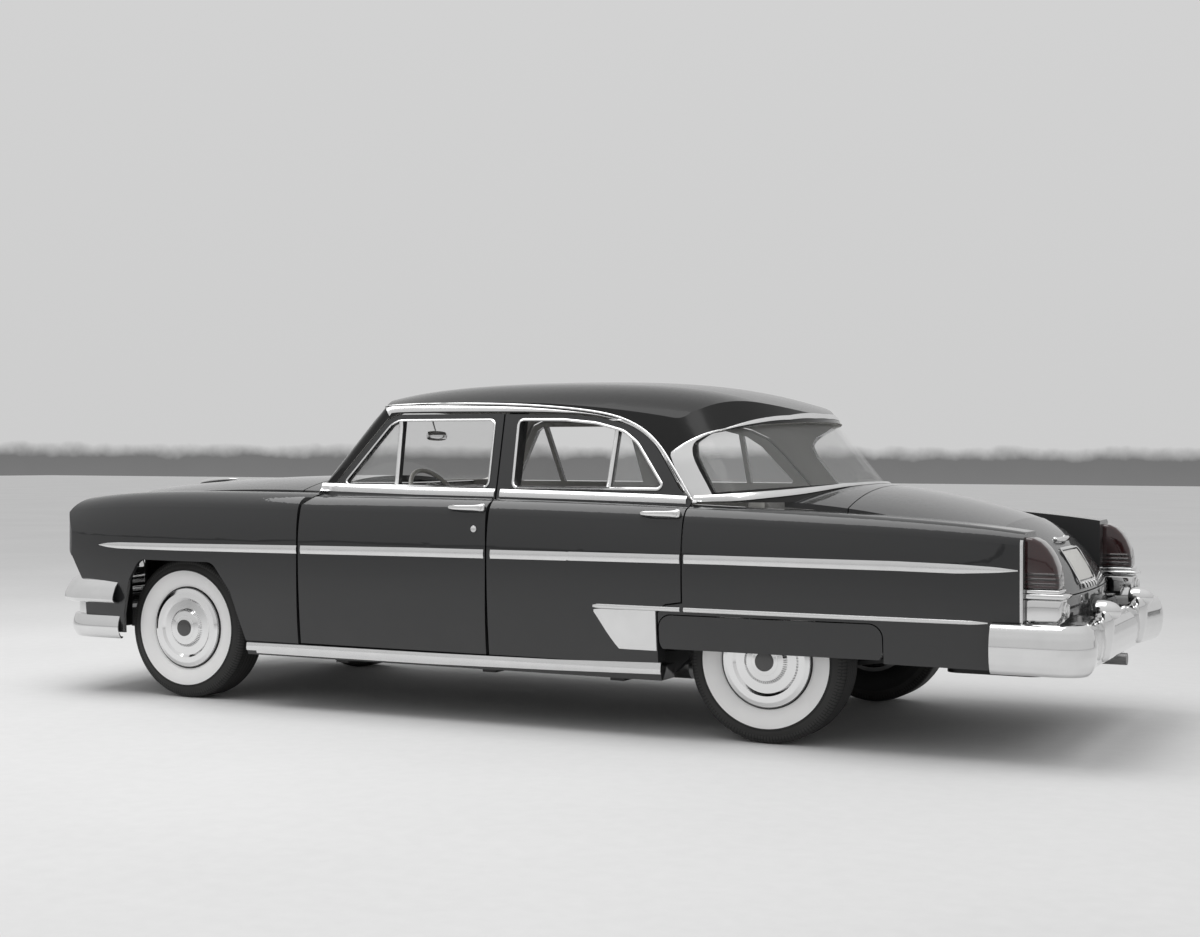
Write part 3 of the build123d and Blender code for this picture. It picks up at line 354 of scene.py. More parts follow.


# %% Tyre finish: tread grooves darkened with painted shade, and a pale band on the outer wall
def tyre_finish(name, centre, side):
    def recipe(space):
        dx, dz, radius, out = round_hub(space, centre, side)
        y = axes(place(space))[1]
        turn = space.sum("ARCTAN2", dz, dx)
        fleck = speckle(space, 700.0, 3.0)
        pale = (out > 0.02) * (radius > wall_band[0]) * (radius < wall_band[1])
        dusty = (radius > 0.3) * (0.4 + speckle(space, 9.0) * 0.6)
        black = blend(space, dusty, tone(0.012), tone(0.034, (1.0, 0.98, 0.95)))
        white = blend(space, speckle(space, 11.0), tone(0.82), tone(0.90, (1.0, 0.99, 0.98)))
        colour = blend(space, pale, black, white)
        zigzag = space.sum("PINGPONG", turn * 40.0, 1.0) * 0.006
        groove = (radius > tread_radius) * ((y + zigzag).wave(0.0245) > 0.66)
        cuts = (radius > shoulder_radius) * (space.sum("SINE", turn * 150.0) > 0.55) * (out.size() > half_tread)
        hollow_and_shade = space.sum("MAXIMUM", groove, cuts)
        line = sum((radius - edge).size() < 0.0016 for edge in (wall_band[0] - 0.002, wall_band[1] + 0.002))
        height = 1.0 - hollow_and_shade - line * 0.4
        # Painted shade: the grooves and cuts are relief only, so they are coloured near black where shade would fall in
        # them.
        return {"Base Color": blend(space, hollow_and_shade, colour, tone(0.006)),
                "Roughness": 0.66 - pale * 0.18 + fleck * 0.1,
                "Normal": relief(space, height + fleck * 0.04, 0.9, 0.006)}
    return finish(name, recipe)


# %% Give every CAD node its finish
def chosen_only(piece):
    bpy.ops.object.select_all(action="DESELECT")
    piece.select_set(True)
    bpy.context.view_layer.objects.active = piece


def soft_within(degrees):
    """Shades the chosen piece smooth wherever its faces meet at less than an angle."""
    bpy.ops.object.shade_smooth_by_angle(angle=radians(degrees))


finishes = [
    (roof_paint, "roof_panel"), (floor_finish, "floor_pan"), (door_paint, "cowl_panel centre_pillars"),
    (chassis_black, "chassis_frame engine_bay_panels radiator fuel_tank"),
    (chassis_black, "front_suspension rear_axle rear_springs tie_rod"),
    (plating, "front_bumper rear_bumper grille headlamp_bezels tail_lamp_housings"), (lamp_glass, "headlamps"),
    (tail_glass, "tail_lamp_lenses"), (clear_glass, "windscreen rear_window"), (dull_steel, "exhaust"),
    (shelf_cloth, "front_seat rear_seat parcel_shelf"), (interior_paint, "front_seat_frame dashboard"),
    (ivory, "steering_column steering_wheel"), (casting, "engine gearbox_and_shaft knuckle_left knuckle_right"),
]
shade_of = {name: shade for shade, names in finishes for name in names.split()}
for name, node in nodes.items():
    if "door_glass" in name:
        chosen = clear_glass
    elif name.startswith(("tyre", "wheel")):
        low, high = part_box(name)
        side = 1 if high.y > 0 else -1
        hub = Vector(((low.x + high.x) / 2, side * hub_y / 1000, (low.z + high.z) / 2))
        make = tyre_finish if name.startswith("tyre") else wheel_finish
        chosen = make(name + "_finish", hub, side)
    elif "door" in name:
        chosen = door_paint
    else:
        chosen = shade_of.get(name, body_paint)
    node.data.materials.clear()
    node.data.materials.append(chosen)
    chosen_only(node)
    soft_within(32)
    node.select_set(False)
print("finished nodes:", len(nodes))


# %% [markdown]
# ## Strips laid on the body
# Mouldings, belt strips, window surrounds and the bright sail panels are all thin metal laid over
# curved paint. A flat grid is bent to the strip's outline, every point is pushed inwards until it
# meets the panel, and then the strip gets its crown and thickness. One helper makes them all.

# %% Steps that many pieces share
CAR = "body_and_chassis"
SIDES = ((1, "left"), (-1, "right"))
TURNS = {"X": (0, pi / 2, 0), "Y": (pi / 2, 0, 0), "Z": (0, 0, 0)}


def started(name, add, **options):
    """A new object from one of Blender's own shapes, alone in the selection."""
    bpy.ops.object.select_all(action="DESELECT")
    add(**options)
    piece = bpy.context.object
    piece.name = name
    return piece


def changed(piece, kind, **settings):
    """Gives a piece one modifier and applies it."""
    modifier = piece.modifiers.new(kind.lower(), kind)
    for key, value in settings.items():
        setattr(modifier, key, value)
    bpy.ops.object.modifier_apply(modifier=modifier.name)


def open_mesh():
    bpy.ops.object.mode_set(mode="EDIT")
    bpy.ops.mesh.select_mode(type="FACE")
    bpy.ops.mesh.select_all(action="SELECT")


def close_mesh():
    bpy.ops.object.mode_set(mode="OBJECT")


def normal_out():
    open_mesh()
    bpy.ops.mesh.remove_doubles(threshold=0.00001)
    bpy.ops.mesh.normals_make_consistent(inside=False)
    close_mesh()


# %% Find the surface under a point
def meet(panels, start, way):
    """The first point where a line from start meets one of the panels."""
    found, start = None, Vector(start)
    for panel in panels:
        hit, spot, *_ = nodes[panel].ray_cast(start, way)
        if hit and (found is None or (spot - start).length < (found - start).length):
            found = spot
    return found


def laid_strip(name, rows, panels, body=CAR, shade=stainless, away=(0, 1, 0), rise=3.0, crown=0.0, across=4,
               slot="bright_metal", taper=(0, 0), inner=2.0, near=0.2):
    """A strip between two rows of (x, y, z) points in mm: lower edge and upper edge at each station.

    away is the way that its face looks: one direction, or the point in the cabin that it looks away from.
    A panel counts only within near, in metres, of the rows, and is looked for from clear of the car.
    """
    clear = 0.4
    single = Vector(away).normalized() if abs(Vector(away).length - 1) < 0.5 else None
    strip = started(name, bpy.ops.mesh.primitive_grid_add, x_subdivisions=len(rows) - 1, y_subdivisions=across, size=1)
    mesh = strip.data
    depth = 0.0
    for vertex in mesh.vertices:
        u = (vertex.co.x + 0.5) * (len(rows) - 1)
        v = vertex.co.y + 0.5
        low, high = (Vector(point) / 1000 for point in rows[round(u)])
        spot = low.lerp(high, v)
        facing_way = single or (low.lerp(high, 0.5) - Vector(away) / 1000).normalized()
        found = meet(panels, spot + facing_way * clear, -facing_way)
        if found is not None and (found - spot).length < near:
            depth = (found - spot).dot(facing_way)
        last = spot + facing_way * depth
        share = round(u) / (len(rows) - 1)
        ends = min(1.0, share / taper[0] if taper[0] else 1.0, (1 - share) / taper[1] if taper[1] else 1.0)
        bulge = crown * (1 - (2 * v - 1) ** 2) * max(ends, 0.15)
        vertex.co = last + facing_way * (rise + bulge) / 1000
    looks = sum((face.normal * face.area for face in mesh.polygons), Vector((0, 0, 0)))
    changed(strip, "SOLIDIFY", thickness=(rise + inner) / 1000, offset=-1 if looks.dot(facing_way) > 0 else 1)
    normal_out()
    soft_within(40)
    strip.data.materials.append(shade)
    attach(strip, body)
    return strip


def stations(points, count):
    """Points (x, low z, high z) along a strip, filled in evenly between the given ones."""
    made = []
    for index in range(count):
        x = points[0][0] + (points[-1][0] - points[0][0]) * index / (count - 1)
        for a, b in zip(points, points[1:]):
            if min(a[0], b[0]) - 1e-6 <= x <= max(a[0], b[0]) + 1e-6:
                t = (x - a[0]) / (b[0] - a[0])
                made.append((x, a[1] + t * (b[1] - a[1]), a[2] + t * (b[2] - a[2])))
                break
    return made


# %% Side mouldings, one length for each panel
def cut(points, x0, x1):
    """The part of a moulding's line that lies on one panel."""
    return [row for row in stations(points, 400) if x1 <= row[0] <= x0]


upper_line = [(2287, 766, 768), (2230, 757, 778), (2150, 752, 783), (1764, 752, 787), (1034, 757, 796),
              (357, 762, 803), (-410, 766, 805), (-1142, 770, 808), (-1929, 767, 806), (-2175, 763, 800),
              (-2330, 770, 792), (-2413, 778, 782)]
lower_line = [(-545, 569, 573), (-590, 562, 581), (-1200, 562, 580), (-1900, 561, 578), (-2240, 560, 575),
              (-2296, 566, 570)]
rocker_line = [(1338, 264, 314), (990, 264, 316), (300, 265, 317), (-365, 274, 322), (-880, 285, 335)]
belt_line = [(948, 1060, 1096), (854, 1056, 1094), (400, 1046, 1082), (-27, 1042, 1077), (-440, 1035, 1070),
             (-829, 1027, 1062), (-978, 1024, 1056)]
tip_line = [(-388, 784, 788), (-440, 767, 806), (-980, 769, 807)]
# name, line, panel, body, rise, crown, share of the length that tapers at the front and the rear end
side_strips = [
    ("moulding_fender", cut(upper_line, 2287, 1026), "front_fender_SIDE", CAR, 1.2, 3.3, (0.05, 0)),
    ("moulding_front_door", cut(upper_line, 1004, -14), "front_door_SIDE", "door_front_SIDE", 1.2, 3.3, (0, 0)),
    ("moulding_rear_door", cut(upper_line, -38, -440), "rear_door_SIDE", "door_rear_SIDE", 1.2, 3.3, (0, 0)),
    ("moulding_tip", tip_line, "rear_door_SIDE", "door_rear_SIDE", 2.2, 2.8, (0.05, 0)),
    ("moulding_quarter", cut(upper_line, -994, -2413), "quarter_panel_SIDE", CAR, 1.2, 3.3, (0, 0.1)),
    ("lower_moulding_door", cut(lower_line, -560, -980), "rear_door_SIDE", "door_rear_SIDE", 3.0, 4, (0.05, 0)),
    ("lower_moulding_quarter", cut(lower_line, -994, -2296), "quarter_panel_SIDE", CAR, 3.0, 4, (0, 0.05)),
    ("rocker_moulding", rocker_line, "rocker_panels", CAR, 4, 1, (0, 0)),
    ("belt_front_door", cut(belt_line, 940, -14), "front_door_SIDE", "door_front_SIDE", 3.0, 5, (0, 0)),
    ("belt_rear_door", cut(belt_line, -38, -976), "rear_door_SIDE", "door_rear_SIDE", 3.0, 5, (0, 0)),
]
for name, points, panel, body, rise, crown, taper in side_strips:
    for side, word in SIDES:
        rows = [((x, side * 900, low), (x, side * 900, high)) for x, low, high in stations(points, 40)]
        laid_strip(f"{name}_{word}", rows, [panel.replace("SIDE", word)], body.replace("SIDE", word),
                   away=(0, side, 0), rise=rise, crown=crown, taper=taper)
print("side strips:", 2 * len(side_strips))

# %% [markdown]
# ## Rails and window surrounds
# The glasshouse is edged with narrow stainless: a rain gutter over the doors, a band under it, the
# belt, the broad panels beside the rear window, and fine frames round the door glass. Each is a
# band that follows a line in space, so two helpers are enough: one smooths a line through a few
# measured points, the other gives it a width across the surface.

# %% Smooth lines in space
def filled(points, count):
    """Points along a line in space, spaced evenly."""
    points = [Vector(point) for point in points]
    steps = [(b - a).length for a, b in zip(points, points[1:])]
    made = []
    for index in range(count):
        way = sum(steps) * index / (count - 1)
        for a, b, step in zip(points, points[1:], steps):
            if way <= step + 1e-6:
                made.append(a.lerp(b, min(1.0, way / step)))
                break
            way -= step
        else:
            made.append(points[-1])
    return made


def smoothed(points, count):
    """Points along a smooth curve that passes through the given ones."""
    points = [Vector(point) for point in points]
    ends = [points[0] * 2 - points[1], *points, points[-1] * 2 - points[-2]]
    fine = []
    for a, b, c, d in zip(ends, ends[1:], ends[2:], ends[3:]):
        for step in range(10):
            t = step / 10
            fine.append((b * 2 + (c - a) * t + (a * 2 - b * 5 + c * 4 - d) * t ** 2
                         + (b * 3 - a - c * 3 + d) * t ** 3) / 2)
    return filled([*fine, points[-1]], count)


def flipped(points, side):
    return [(x, side * y, z) for x, y, z in points]


def neighbours(points, first, last):
    """Each point with the one before it and the one after it."""
    return zip([first, *points], points, [*points[1:], last])


def band(name, line, width, panels, away, **more):
    """A strip of one width along a line of points on a surface."""
    look = Vector(away)
    rows = []
    for before, spot, after in neighbours(line, line[0], line[-1]):
        out = look if abs(look.length - 1) < 0.5 else (spot - look)
        across = (after - before).cross(out).normalized() * width / 2
        rows.append((spot + across, spot - across))
    return laid_strip(name, rows, panels, away=away, **more)


# %% Rain gutter and the band under it
gutter_line = [(700, 712, 1472), (439, 713, 1476), (10, 716, 1466), (-267, 723, 1449), (-477, 733, 1424),
               (-609, 746, 1392), (-718, 766, 1341), (-803, 793, 1274), (-877, 827, 1191), (-950, 863, 1100),
               (-984, 880, 1056)]
band_foot = [(652, 716, 1410), (594, 720, 1433), (20, 722, 1433), (-300, 730, 1427), (-480, 742, 1413),
             (-640, 760, 1378), (-741, 782, 1330), (-808, 808, 1262), (-878, 840, 1174), (-938, 872, 1096),
             (-1000, 892, 1040)]
band_head = [(692, 712, 1463), (439, 713, 1467), (10, 716, 1457), (-267, 723, 1440), (-473, 733, 1415),
             (-604, 746, 1383), (-711, 766, 1334), (-796, 793, 1269), (-869, 827, 1187), (-942, 863, 1097),
             (-990, 880, 1054)]
for side, word in SIDES:
    look = (0, 0.93 * side, 0.37)
    gutter, foot, head = (smoothed(flipped(line, side), 60) for line in (gutter_line, band_foot, band_head))
    band(f"rain_gutter_{word}", gutter, 9, ["roof_panel"], look, rise=9, crown=2)
    laid_strip(f"header_band_{word}", list(zip(foot, head)), ["roof_panel"], away=look, rise=2.5, crown=1.5)

# %% Panels beside the rear window, in one piece over its top, and the belt round its foot
cabin_middle = (-900, 0, 900)
panel_edge = [(-1004, 894, 1040), (-950, 872, 1079), (-918, 849, 1136), (-886, 827, 1192), (-857, 806, 1242),
              (-905, 792, 1278), (-954, 776, 1306), (-1006, 735, 1329), (-1062, 685, 1350), (-1153, 528, 1394),
              (-1241, 332, 1416), (-1280, 150, 1428), (-1292, 0, 1432)]
glass_edge = [(-1087, 879, 1064), (-1050, 860, 1116), (-1010, 836, 1168), (-984, 820, 1206), (-966, 808, 1240),
              (-961, 796, 1268), (-964, 783, 1290), (-1010, 745, 1322), (-1068, 685, 1346), (-1160, 536, 1374),
              (-1249, 345, 1392), (-1300, 150, 1402), (-1314, 0, 1406)]
foot_low = [(-1004, 894, 1034), (-1090, 884, 1036), (-1209, 858, 1038), (-1319, 760, 1052), (-1416, 600, 1068),
            (-1500, 380, 1092), (-1560, 0, 1106)]
foot_high = [(-1004, 894, 1062), (-1094, 880, 1066), (-1209, 850, 1072), (-1319, 744, 1084), (-1416, 587, 1096),
             (-1492, 368, 1108), (-1546, 0, 1118)]


def both_sides(points):
    return [*points, *[(x, -y, z) for x, y, z in reversed(points[:-1])]]


rows = list(zip(filled(both_sides(glass_edge), 121), filled(both_sides(panel_edge), 121)))
laid_strip("rear_window_panels", rows, ["roof_panel"], away=cabin_middle, rise=3, crown=1.5, across=8)
rows = list(zip(smoothed(both_sides(foot_low), 121), smoothed(both_sides(foot_high), 121)))
laid_strip("rear_window_belt", rows, ["roof_panel", "deck_panel"], away=cabin_middle, rise=5, crown=4, across=6)

# %% Windscreen surround
screen_edge = [(-792, 1100), (-668, 1418), (-450, 1440), (0, 1458), (450, 1440), (668, 1418), (792, 1100), (0, 1092)]


def turned(before, spot, after, reach, steps):
    """Points round a corner, from a reach before it to a reach after it."""
    first, last = spot + (before - spot).normalized() * reach, spot + (after - spot).normalized() * reach
    shares = [step / steps for step in range(steps + 1)]
    return [first.lerp(spot, t).lerp(spot.lerp(last, t), t) for t in shares]


def rounded(corners, radius):
    """A closed plane outline with its corners rounded, as a list of points."""
    corners = [Vector(corner) for corner in corners]
    made = []
    for before, spot, after in neighbours(corners, corners[-1], corners[0]):
        reach = min(radius, (before - spot).length * 0.45, (after - spot).length * 0.45)
        made += turned(before, spot, after, reach, 5)
    return [*made, made[0]]


def pushed_out(outline, amount):
    """The outline moved outwards by an amount; it runs either way round."""
    area = sum(a.x * b.y - b.x * a.y for a, b in zip(outline, outline[1:]))
    way = amount if area > 0 else -amount
    moved = []
    for before, spot, after in neighbours(outline, outline[-2], outline[1]):
        run = after - before
        moved.append(spot + Vector((run.y, -run.x)).normalized() * way)
    return moved


screen_ring = rounded(screen_edge, 36)
rows = [((1300, *a), (1300, *b)) for a, b in zip(pushed_out(screen_ring, 2), pushed_out(screen_ring, 20))]
laid_strip("windscreen_surround", rows, ["roof_panel"], away=(1, 0, 0), rise=4, crown=3, near=0.7)

# %% Frames round the door glass, and the bars that divide off the vent and quarter panes
front_glass = [(32, 1092), (66, 1392), (588, 1392), (628, 1372), (812, 1104), (790, 1092)]
rear_glass = [(-108, 1092), (-74, 1390), (-300, 1388), (-470, 1372), (-612, 1336), (-688, 1284), (-838, 1104),
              (-828, 1092)]
# glass, width and rise of its frame, and the foot and head of its divider
frames = {"front": (front_glass, 10, 3.5, (528, 1092), (578, 1394)),
          "rear": (rear_glass, 13, 4.5, (-586, 1092), (-578, 1346))}
for place_name, (corners, width, rise, foot, head) in frames.items():
    ring = rounded(corners, 22)
    for side, word in SIDES:
        panel, body = f"{place_name}_door_{word}", f"door_{place_name}_{word}"
        edges = zip(pushed_out(ring, 1), pushed_out(ring, width))
        rows = [((a.x, side * 760, a.y), (b.x, side * 760, b.y)) for a, b in edges]
        laid_strip(f"glass_frame_{place_name}_{word}", rows, [panel], body, away=(0, side, 0), rise=rise, crown=2.5)
        line = filled([(foot[0], side * 780, foot[1]), (head[0], side * 780, head[1])], 12)
        band(f"glass_divider_{place_name}_{word}", line, 20, [panel], (0, side, 0), body=body, rise=4, crown=4)
print("rails and frames laid")

# %% [markdown]
# ## Bars drawn through loops
# Handles, stalks and ornaments are bars whose thickness changes along the way. A round face is
# extruded station by station and resized at each, as one would by hand, then a subdivision
# surface rounds the steps.

# %% One drawn bar, and copies of a piece
def drawn(name, loops, axis="X", points=12, smooth=2):
    """A closed bar along one axis; each loop is a centre and two half widths, in mm."""
    flat = "XYZ".index(axis)
    piece = started(name, bpy.ops.mesh.primitive_circle_add, vertices=points, radius=0.001, fill_type="NGON",
                    rotation=TURNS[axis])
    bpy.ops.object.transform_apply(location=True, rotation=True, scale=True)
    open_mesh()
    spot, sizes = Vector((0, 0, 0)), (1.0, 1.0)
    for index, (centre, wide, tall) in enumerate(loops):
        target = Vector(centre) / 1000
        if index:
            bpy.ops.mesh.extrude_region_move(TRANSFORM_OT_translate={"value": target - spot})
        else:
            bpy.ops.transform.translate(value=target)
        ratio = [wide / sizes[0], tall / sizes[1]]
        ratio.insert(flat, 1.0)
        bpy.ops.transform.resize(value=ratio, center_override=target)
        spot, sizes = target, (wide, tall)
    close_mesh()
    normal_out()
    if smooth:
        changed(piece, "SUBSURF", levels=smooth, render_levels=smooth)
    soft_within(50)
    return piece


def copied(piece, name, shift=(0, 0, 0), mirror=False):
    """A copy with its own mesh, moved, or mirrored to the other side of the car first."""
    chosen_only(piece)
    bpy.ops.object.duplicate(linked=False)
    made = bpy.context.object
    made.name = name
    open_mesh()
    if mirror:
        bpy.ops.transform.resize(value=(1, -1, 1), center_override=(0, 0, 0))
        bpy.ops.mesh.flip_normals()
    bpy.ops.transform.translate(value=shift)
    close_mesh()
    return made


def fitted(piece, body=CAR, shade=plating):
    """Gives a piece its finish and the body that it rides on."""
    piece.data.materials.clear()
    piece.data.materials.append(shade)
    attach(piece, body)
    return piece


def paired(piece, body=CAR, shade=plating):
    """Fits a piece of the left side and its mirrored twin on the right."""
    twin = copied(piece, piece.name.replace("left", "right"), mirror=True)
    return [fitted(piece, body.replace("SIDE", "left"), shade),
            fitted(twin, body.replace("SIDE", "right"), shade)]


def joined(name, *pieces):
    """Several meshes made into one piece."""
    chosen_only(pieces[0])
    for piece in pieces:
        piece.select_set(True)
    bpy.ops.object.join()
    pieces[0].name = name
    return pieces[0]


def skin_y(panel, x, z):
    """How far out a panel of the left side reaches at a place in a side view, in mm."""
    return meet([panel], (x / 1000, 1.4, z / 1000), (0, -1, 0)).y * 1000


# %% [markdown]
# ## Door handles
# A pull handle is a flat bowed bar that stands off the door on a foot at its front and ends in a
# round boss with a push button. The left one is drawn once a door and mirrored for the right.

# %% Handles and lock buttons
def disc(name, centre, radius, depth, axis="Y", rim=0.0, points=28):
    """A turned button: a short cylinder whose face is inset and raised, with softened edges."""
    piece = started(name, bpy.ops.mesh.primitive_cylinder_add, vertices=points, radius=radius / 1000,
                    depth=depth / 1000, location=Vector(centre) / 1000, rotation=TURNS[axis])
    bpy.ops.object.transform_apply(location=True, rotation=True, scale=True)
    open_mesh()
    bpy.ops.mesh.select_all(action="DESELECT")
    close_mesh()
    for face in piece.data.polygons:
        face.select = abs(face.normal["XYZ".index(axis)]) > 0.9
    bpy.ops.object.mode_set(mode="EDIT")
    bpy.ops.mesh.inset(thickness=radius * 0.22 / 1000, depth=rim / 1000)
    close_mesh()
    changed(piece, "BEVEL", width=min(radius, depth) * 0.16 / 1000, segments=3)
    soft_within(40)
    return piece


handles = [("front", 188, -13, 992), ("rear", -782, -979, 981)]
for place_name, x0, x1, z in handles:
    panel = f"{place_name}_door_left"
    y0, y1 = skin_y(panel, x0 - 12, z), skin_y(panel, x1 + 32, z)
    grip = drawn("grip", [((x0, y0 + 12, z), 4, 5), ((x0 - 6, y0 + 15, z), 6, 9), ((x0 - 40, y0 + 26, z), 6, 11),
                          ((x0 - 90, y0 + 31, z), 6, 12), ((x1 + 60, y1 + 29, z), 6, 12),
                          ((x1 + 36, y1 + 25, z), 8, 15), ((x1 + 14, y1 + 20, z), 10, 18),
                          ((x1 + 4, y1 + 14, z), 6, 12)])
    foot = drawn("foot", [((x0 - 22, y0 - 4, z), 14, 12), ((x0 - 22, y0 + 3, z), 14, 12),
                          ((x0 - 24, y0 + 18, z), 10, 8)], axis="Y")
    boss = drawn("boss", [((x1 + 26, y1 - 4, z), 22, 22), ((x1 + 26, y1 + 4, z), 22, 22),
                          ((x1 + 24, y1 + 20, z), 15, 15)], axis="Y")
    button = disc("button", (x1 + 26, y1 + 27, z), 11, 10, rim=0.6)
    paired(joined(f"door_handle_{place_name}_left", grip, foot, boss, button), f"door_{place_name}_SIDE")
lock_y = skin_y("front_door_left", 43, 896) + 2
paired(disc("key_lock_left", (43, lock_y, 896), 15, 12, rim=-1.0), "door_front_SIDE")
print("handles reach out to", round(y1 + 36), "mm")

# %% [markdown]
# ## Wheel covers
# The cover's dished middle carries a ring of fins and a plain round medallion. One fin is made,
# and spin copies it round the hub, as a maker would step a punch round a die.

# %% Fins and medallion of one cover, copied to all four wheels
fin_count = 60
fin_step = 2 * pi / fin_count
fin = drawn("fin", [((0, hub_y + 94, 99), 1.6, 1.5), ((0, hub_y + 101, 94), 1.8, 3.0),
                    ((0, hub_y + 108, 83), 1.4, 1.5)], axis="Z", points=6, smooth=1)
chosen_only(fin)
open_mesh()
bpy.ops.mesh.spin(steps=fin_count - 1, angle=fin_step * (fin_count - 1), center=(0, hub_y / 1000, 0), axis=(0, 1, 0),
                  dupli=True)
close_mesh()
normal_out()
medallion = disc("medallion", (0, hub_y + 113, 0), 42, 6, rim=1.0, points=48)
step_ring = drawn("step_ring", [((0, hub_y + 108, 0), 62, 62), ((0, hub_y + 110, 0), 61, 61)], axis="Y", points=48,
                  smooth=0)


def dark_middle(space):
    return {"Base Color": tone(0.03, (1.0, 0.98, 0.98)), "Roughness": 0.12 + speckle(space, 40.0) * 0.05}


medal_enamel = finish("medallion_enamel", dark_middle, Coat_Weight=1.0)
axle_z, axles = 0.355, (("front", 1.802), ("rear", -1.322))
wheel_places = [(*axle, *side) for axle in axles for side in SIDES]
patterns = ((fin, "fins", plating), (medallion, "medallion", medal_enamel), (step_ring, "ring", plating))
for place_name, axle_x, side, word in wheel_places:
    for pattern, part, shade in patterns:
        made = copied(pattern, f"cover_{part}_{place_name}_{word}", (axle_x, 0, axle_z), side < 0)
        fitted(made, f"wheel_{place_name}_{word}", shade)
for pattern, *_ in patterns:
    bpy.data.objects.remove(pattern)
print("covers dressed:", len(wheel_places))

# %% [markdown]
# ## Bumpers
# A bumper blade is one pressed section carried round the car's end. A grid holds the section's
# points one way and the plan's the other, and a thickness turns it into sheet. The rear one has
# deep rounded ends and two guards with bullet noses; the front one has two blades and a filler.

# %% A pressed blade carried along a plan
def blade(name, plan, radii, base_z, section, thickness=6.0):
    """A sheet whose section, as (out, up) points in mm, follows the plan's (x, y) points round the car's end."""
    corners = [*plan, *[(x, -y) for x, y in reversed(plan) if y]]
    line = []
    for index, corner in enumerate(corners):
        spot = Vector(corner)
        radius = radii[min(index, len(corners) - 1 - index)]
        if not radius:
            line.append(spot)
            continue
        before, after = Vector(corners[index - 1]), Vector(corners[index + 1])
        bend = (spot - before).angle(after - spot)
        shortest = min((spot - before).length, (after - spot).length)
        line += turned(before, spot, after, min(radius * tan(bend / 2), shortest * 0.48), 10)
    path = filled([(spot.x, spot.y, 0) for spot in line], 150)
    levels = filled([(out, 0, up) for out, up in section], 40)
    piece = started(name, bpy.ops.mesh.primitive_grid_add, x_subdivisions=len(path) - 1,
                    y_subdivisions=len(levels) - 1, size=1)
    way = 1 if plan[-1][0] > plan[0][0] else -1
    for vertex in piece.data.vertices:
        step = round((vertex.co.x + 0.5) * (len(path) - 1))
        level = levels[round((vertex.co.y + 0.5) * (len(levels) - 1))]
        run = (path[min(step + 1, len(path) - 1)] - path[max(step - 1, 0)]).normalized()
        outward = Vector((-run.y, run.x, 0)) * way
        spot = path[step] + outward * level.x
        vertex.co = Vector((spot.x, spot.y, base_z + level.z)) / 1000
    changed(piece, "SOLIDIFY", thickness=thickness / 1000, offset=0)
    normal_out()
    soft_within(35)
    return piece


def bullet(y, z, steps):
    """A guard's rounded nose; steps are places along the car and radii."""
    return drawn("bullet", [((x, y, z), radius, radius) for x, radius in steps], points=24, smooth=1)


# %% Both bumpers with their guards
guard_places = (420, -420)
rear_section = [(-12, 6), (-2, 2), (10, 14), (22, 42), (28, 78), (29, 112), (24, 146), (14, 174), (2, 192), (-10, 198)]
rear_parts = [blade("rear_blade", [(-2312, 948), (-2686, 948), (-2642, 560)], [0, 120, 260], 370, rear_section)]
rear_nose = [(-2610, 44), (-2650, 46), (-2686, 42), (-2708, 32), (-2721, 18), (-2725, 6)]
for y in guard_places:
    guard = [((-2650, y, 384), 18, 40), ((-2654, y, 392), 26, 54), ((-2664, y, 470), 30, 58),
             ((-2672, y, 560), 30, 58), ((-2668, y, 592), 26, 54), ((-2664, y, 600), 16, 40)]
    rear_parts += [drawn("guard", guard, axis="Z", points=20, smooth=1), bullet(y, 594, rear_nose)]
front_section = [(-14, 6), (0, 0), (14, 22), (24, 50), (20, 84), (10, 112), (-10, 116), (-10, 178), (44, 184),
                 (66, 198), (62, 222), (44, 264), (20, 292), (-8, 309)]
front_parts = [blade("front_blade", [(2160, 913), (2526, 913), (2656, 0)], [0, 230, 0], 290, front_section)]
front_nose = [(2590, 58), (2650, 58), (2688, 50), (2710, 36), (2722, 19), (2725, 6)]
front_parts += [bullet(y, 566, front_nose) for y in guard_places]
rear_bumper = fitted(joined("plated_rear_bumper", *rear_parts))
front_bumper = fitted(joined("plated_front_bumper", *front_parts))
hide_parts("rear_bumper")
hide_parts("front_bumper")
print("bumper faces:", len(rear_bumper.data.polygons), len(front_bumper.data.polygons))

# %% [markdown]
# ## Gravel shields, tail lamps and the luggage lid's fittings
# A bright shield keeps stones off the rear door's swollen corner. At the tail a strip closes the
# fender's edge, the lens sits over a stepped plated base with a small lamp in it, and the lid
# carries a pull handle over a blank plate with short upright bars.

# %% Gravel shields
shield_rows = [(-566, 546, 556), (-584, 521, 559), (-604, 492, 560), (-624, 462, 560), (-645, 434, 560),
               (-665, 409, 560), (-684, 388, 560), (-720, 387, 561), (-780, 387, 561), (-830, 387, 561),
               (-864, 387, 561)]
for side, word in SIDES:
    rows = [((x, side * 940, low), (x, side * 940, high)) for x, low, high in shield_rows]
    laid_strip(f"gravel_shield_{word}", rows, [f"rear_door_{word}"], f"door_rear_{word}", away=(0, side, 0), rise=1.6,
               across=10)

# %% Tail edges and lamps in the plated bases
for side, word in SIDES:
    rows = [((-2433, side * 900, z), (-2421, side * 900, z)) for z in range(566, 905, 12)]
    laid_strip(f"tail_edge_{word}", rows, [f"quarter_panel_{word}"], away=(0, side, 0), rise=3, crown=2)


def extruded(name, outline, y0, y1):
    """A side outline of (x, z) points extruded across the car."""
    piece = started(name, bpy.ops.mesh.primitive_circle_add, vertices=len(outline), radius=1, fill_type="NGON")
    for vertex, (x, z) in zip(piece.data.vertices, outline):
        vertex.co = Vector((x, y0, z)) / 1000
    open_mesh()
    bpy.ops.mesh.extrude_region_move(TRANSFORM_OT_translate={"value": (0, (y1 - y0) / 1000, 0)})
    close_mesh()
    normal_out()
    return piece


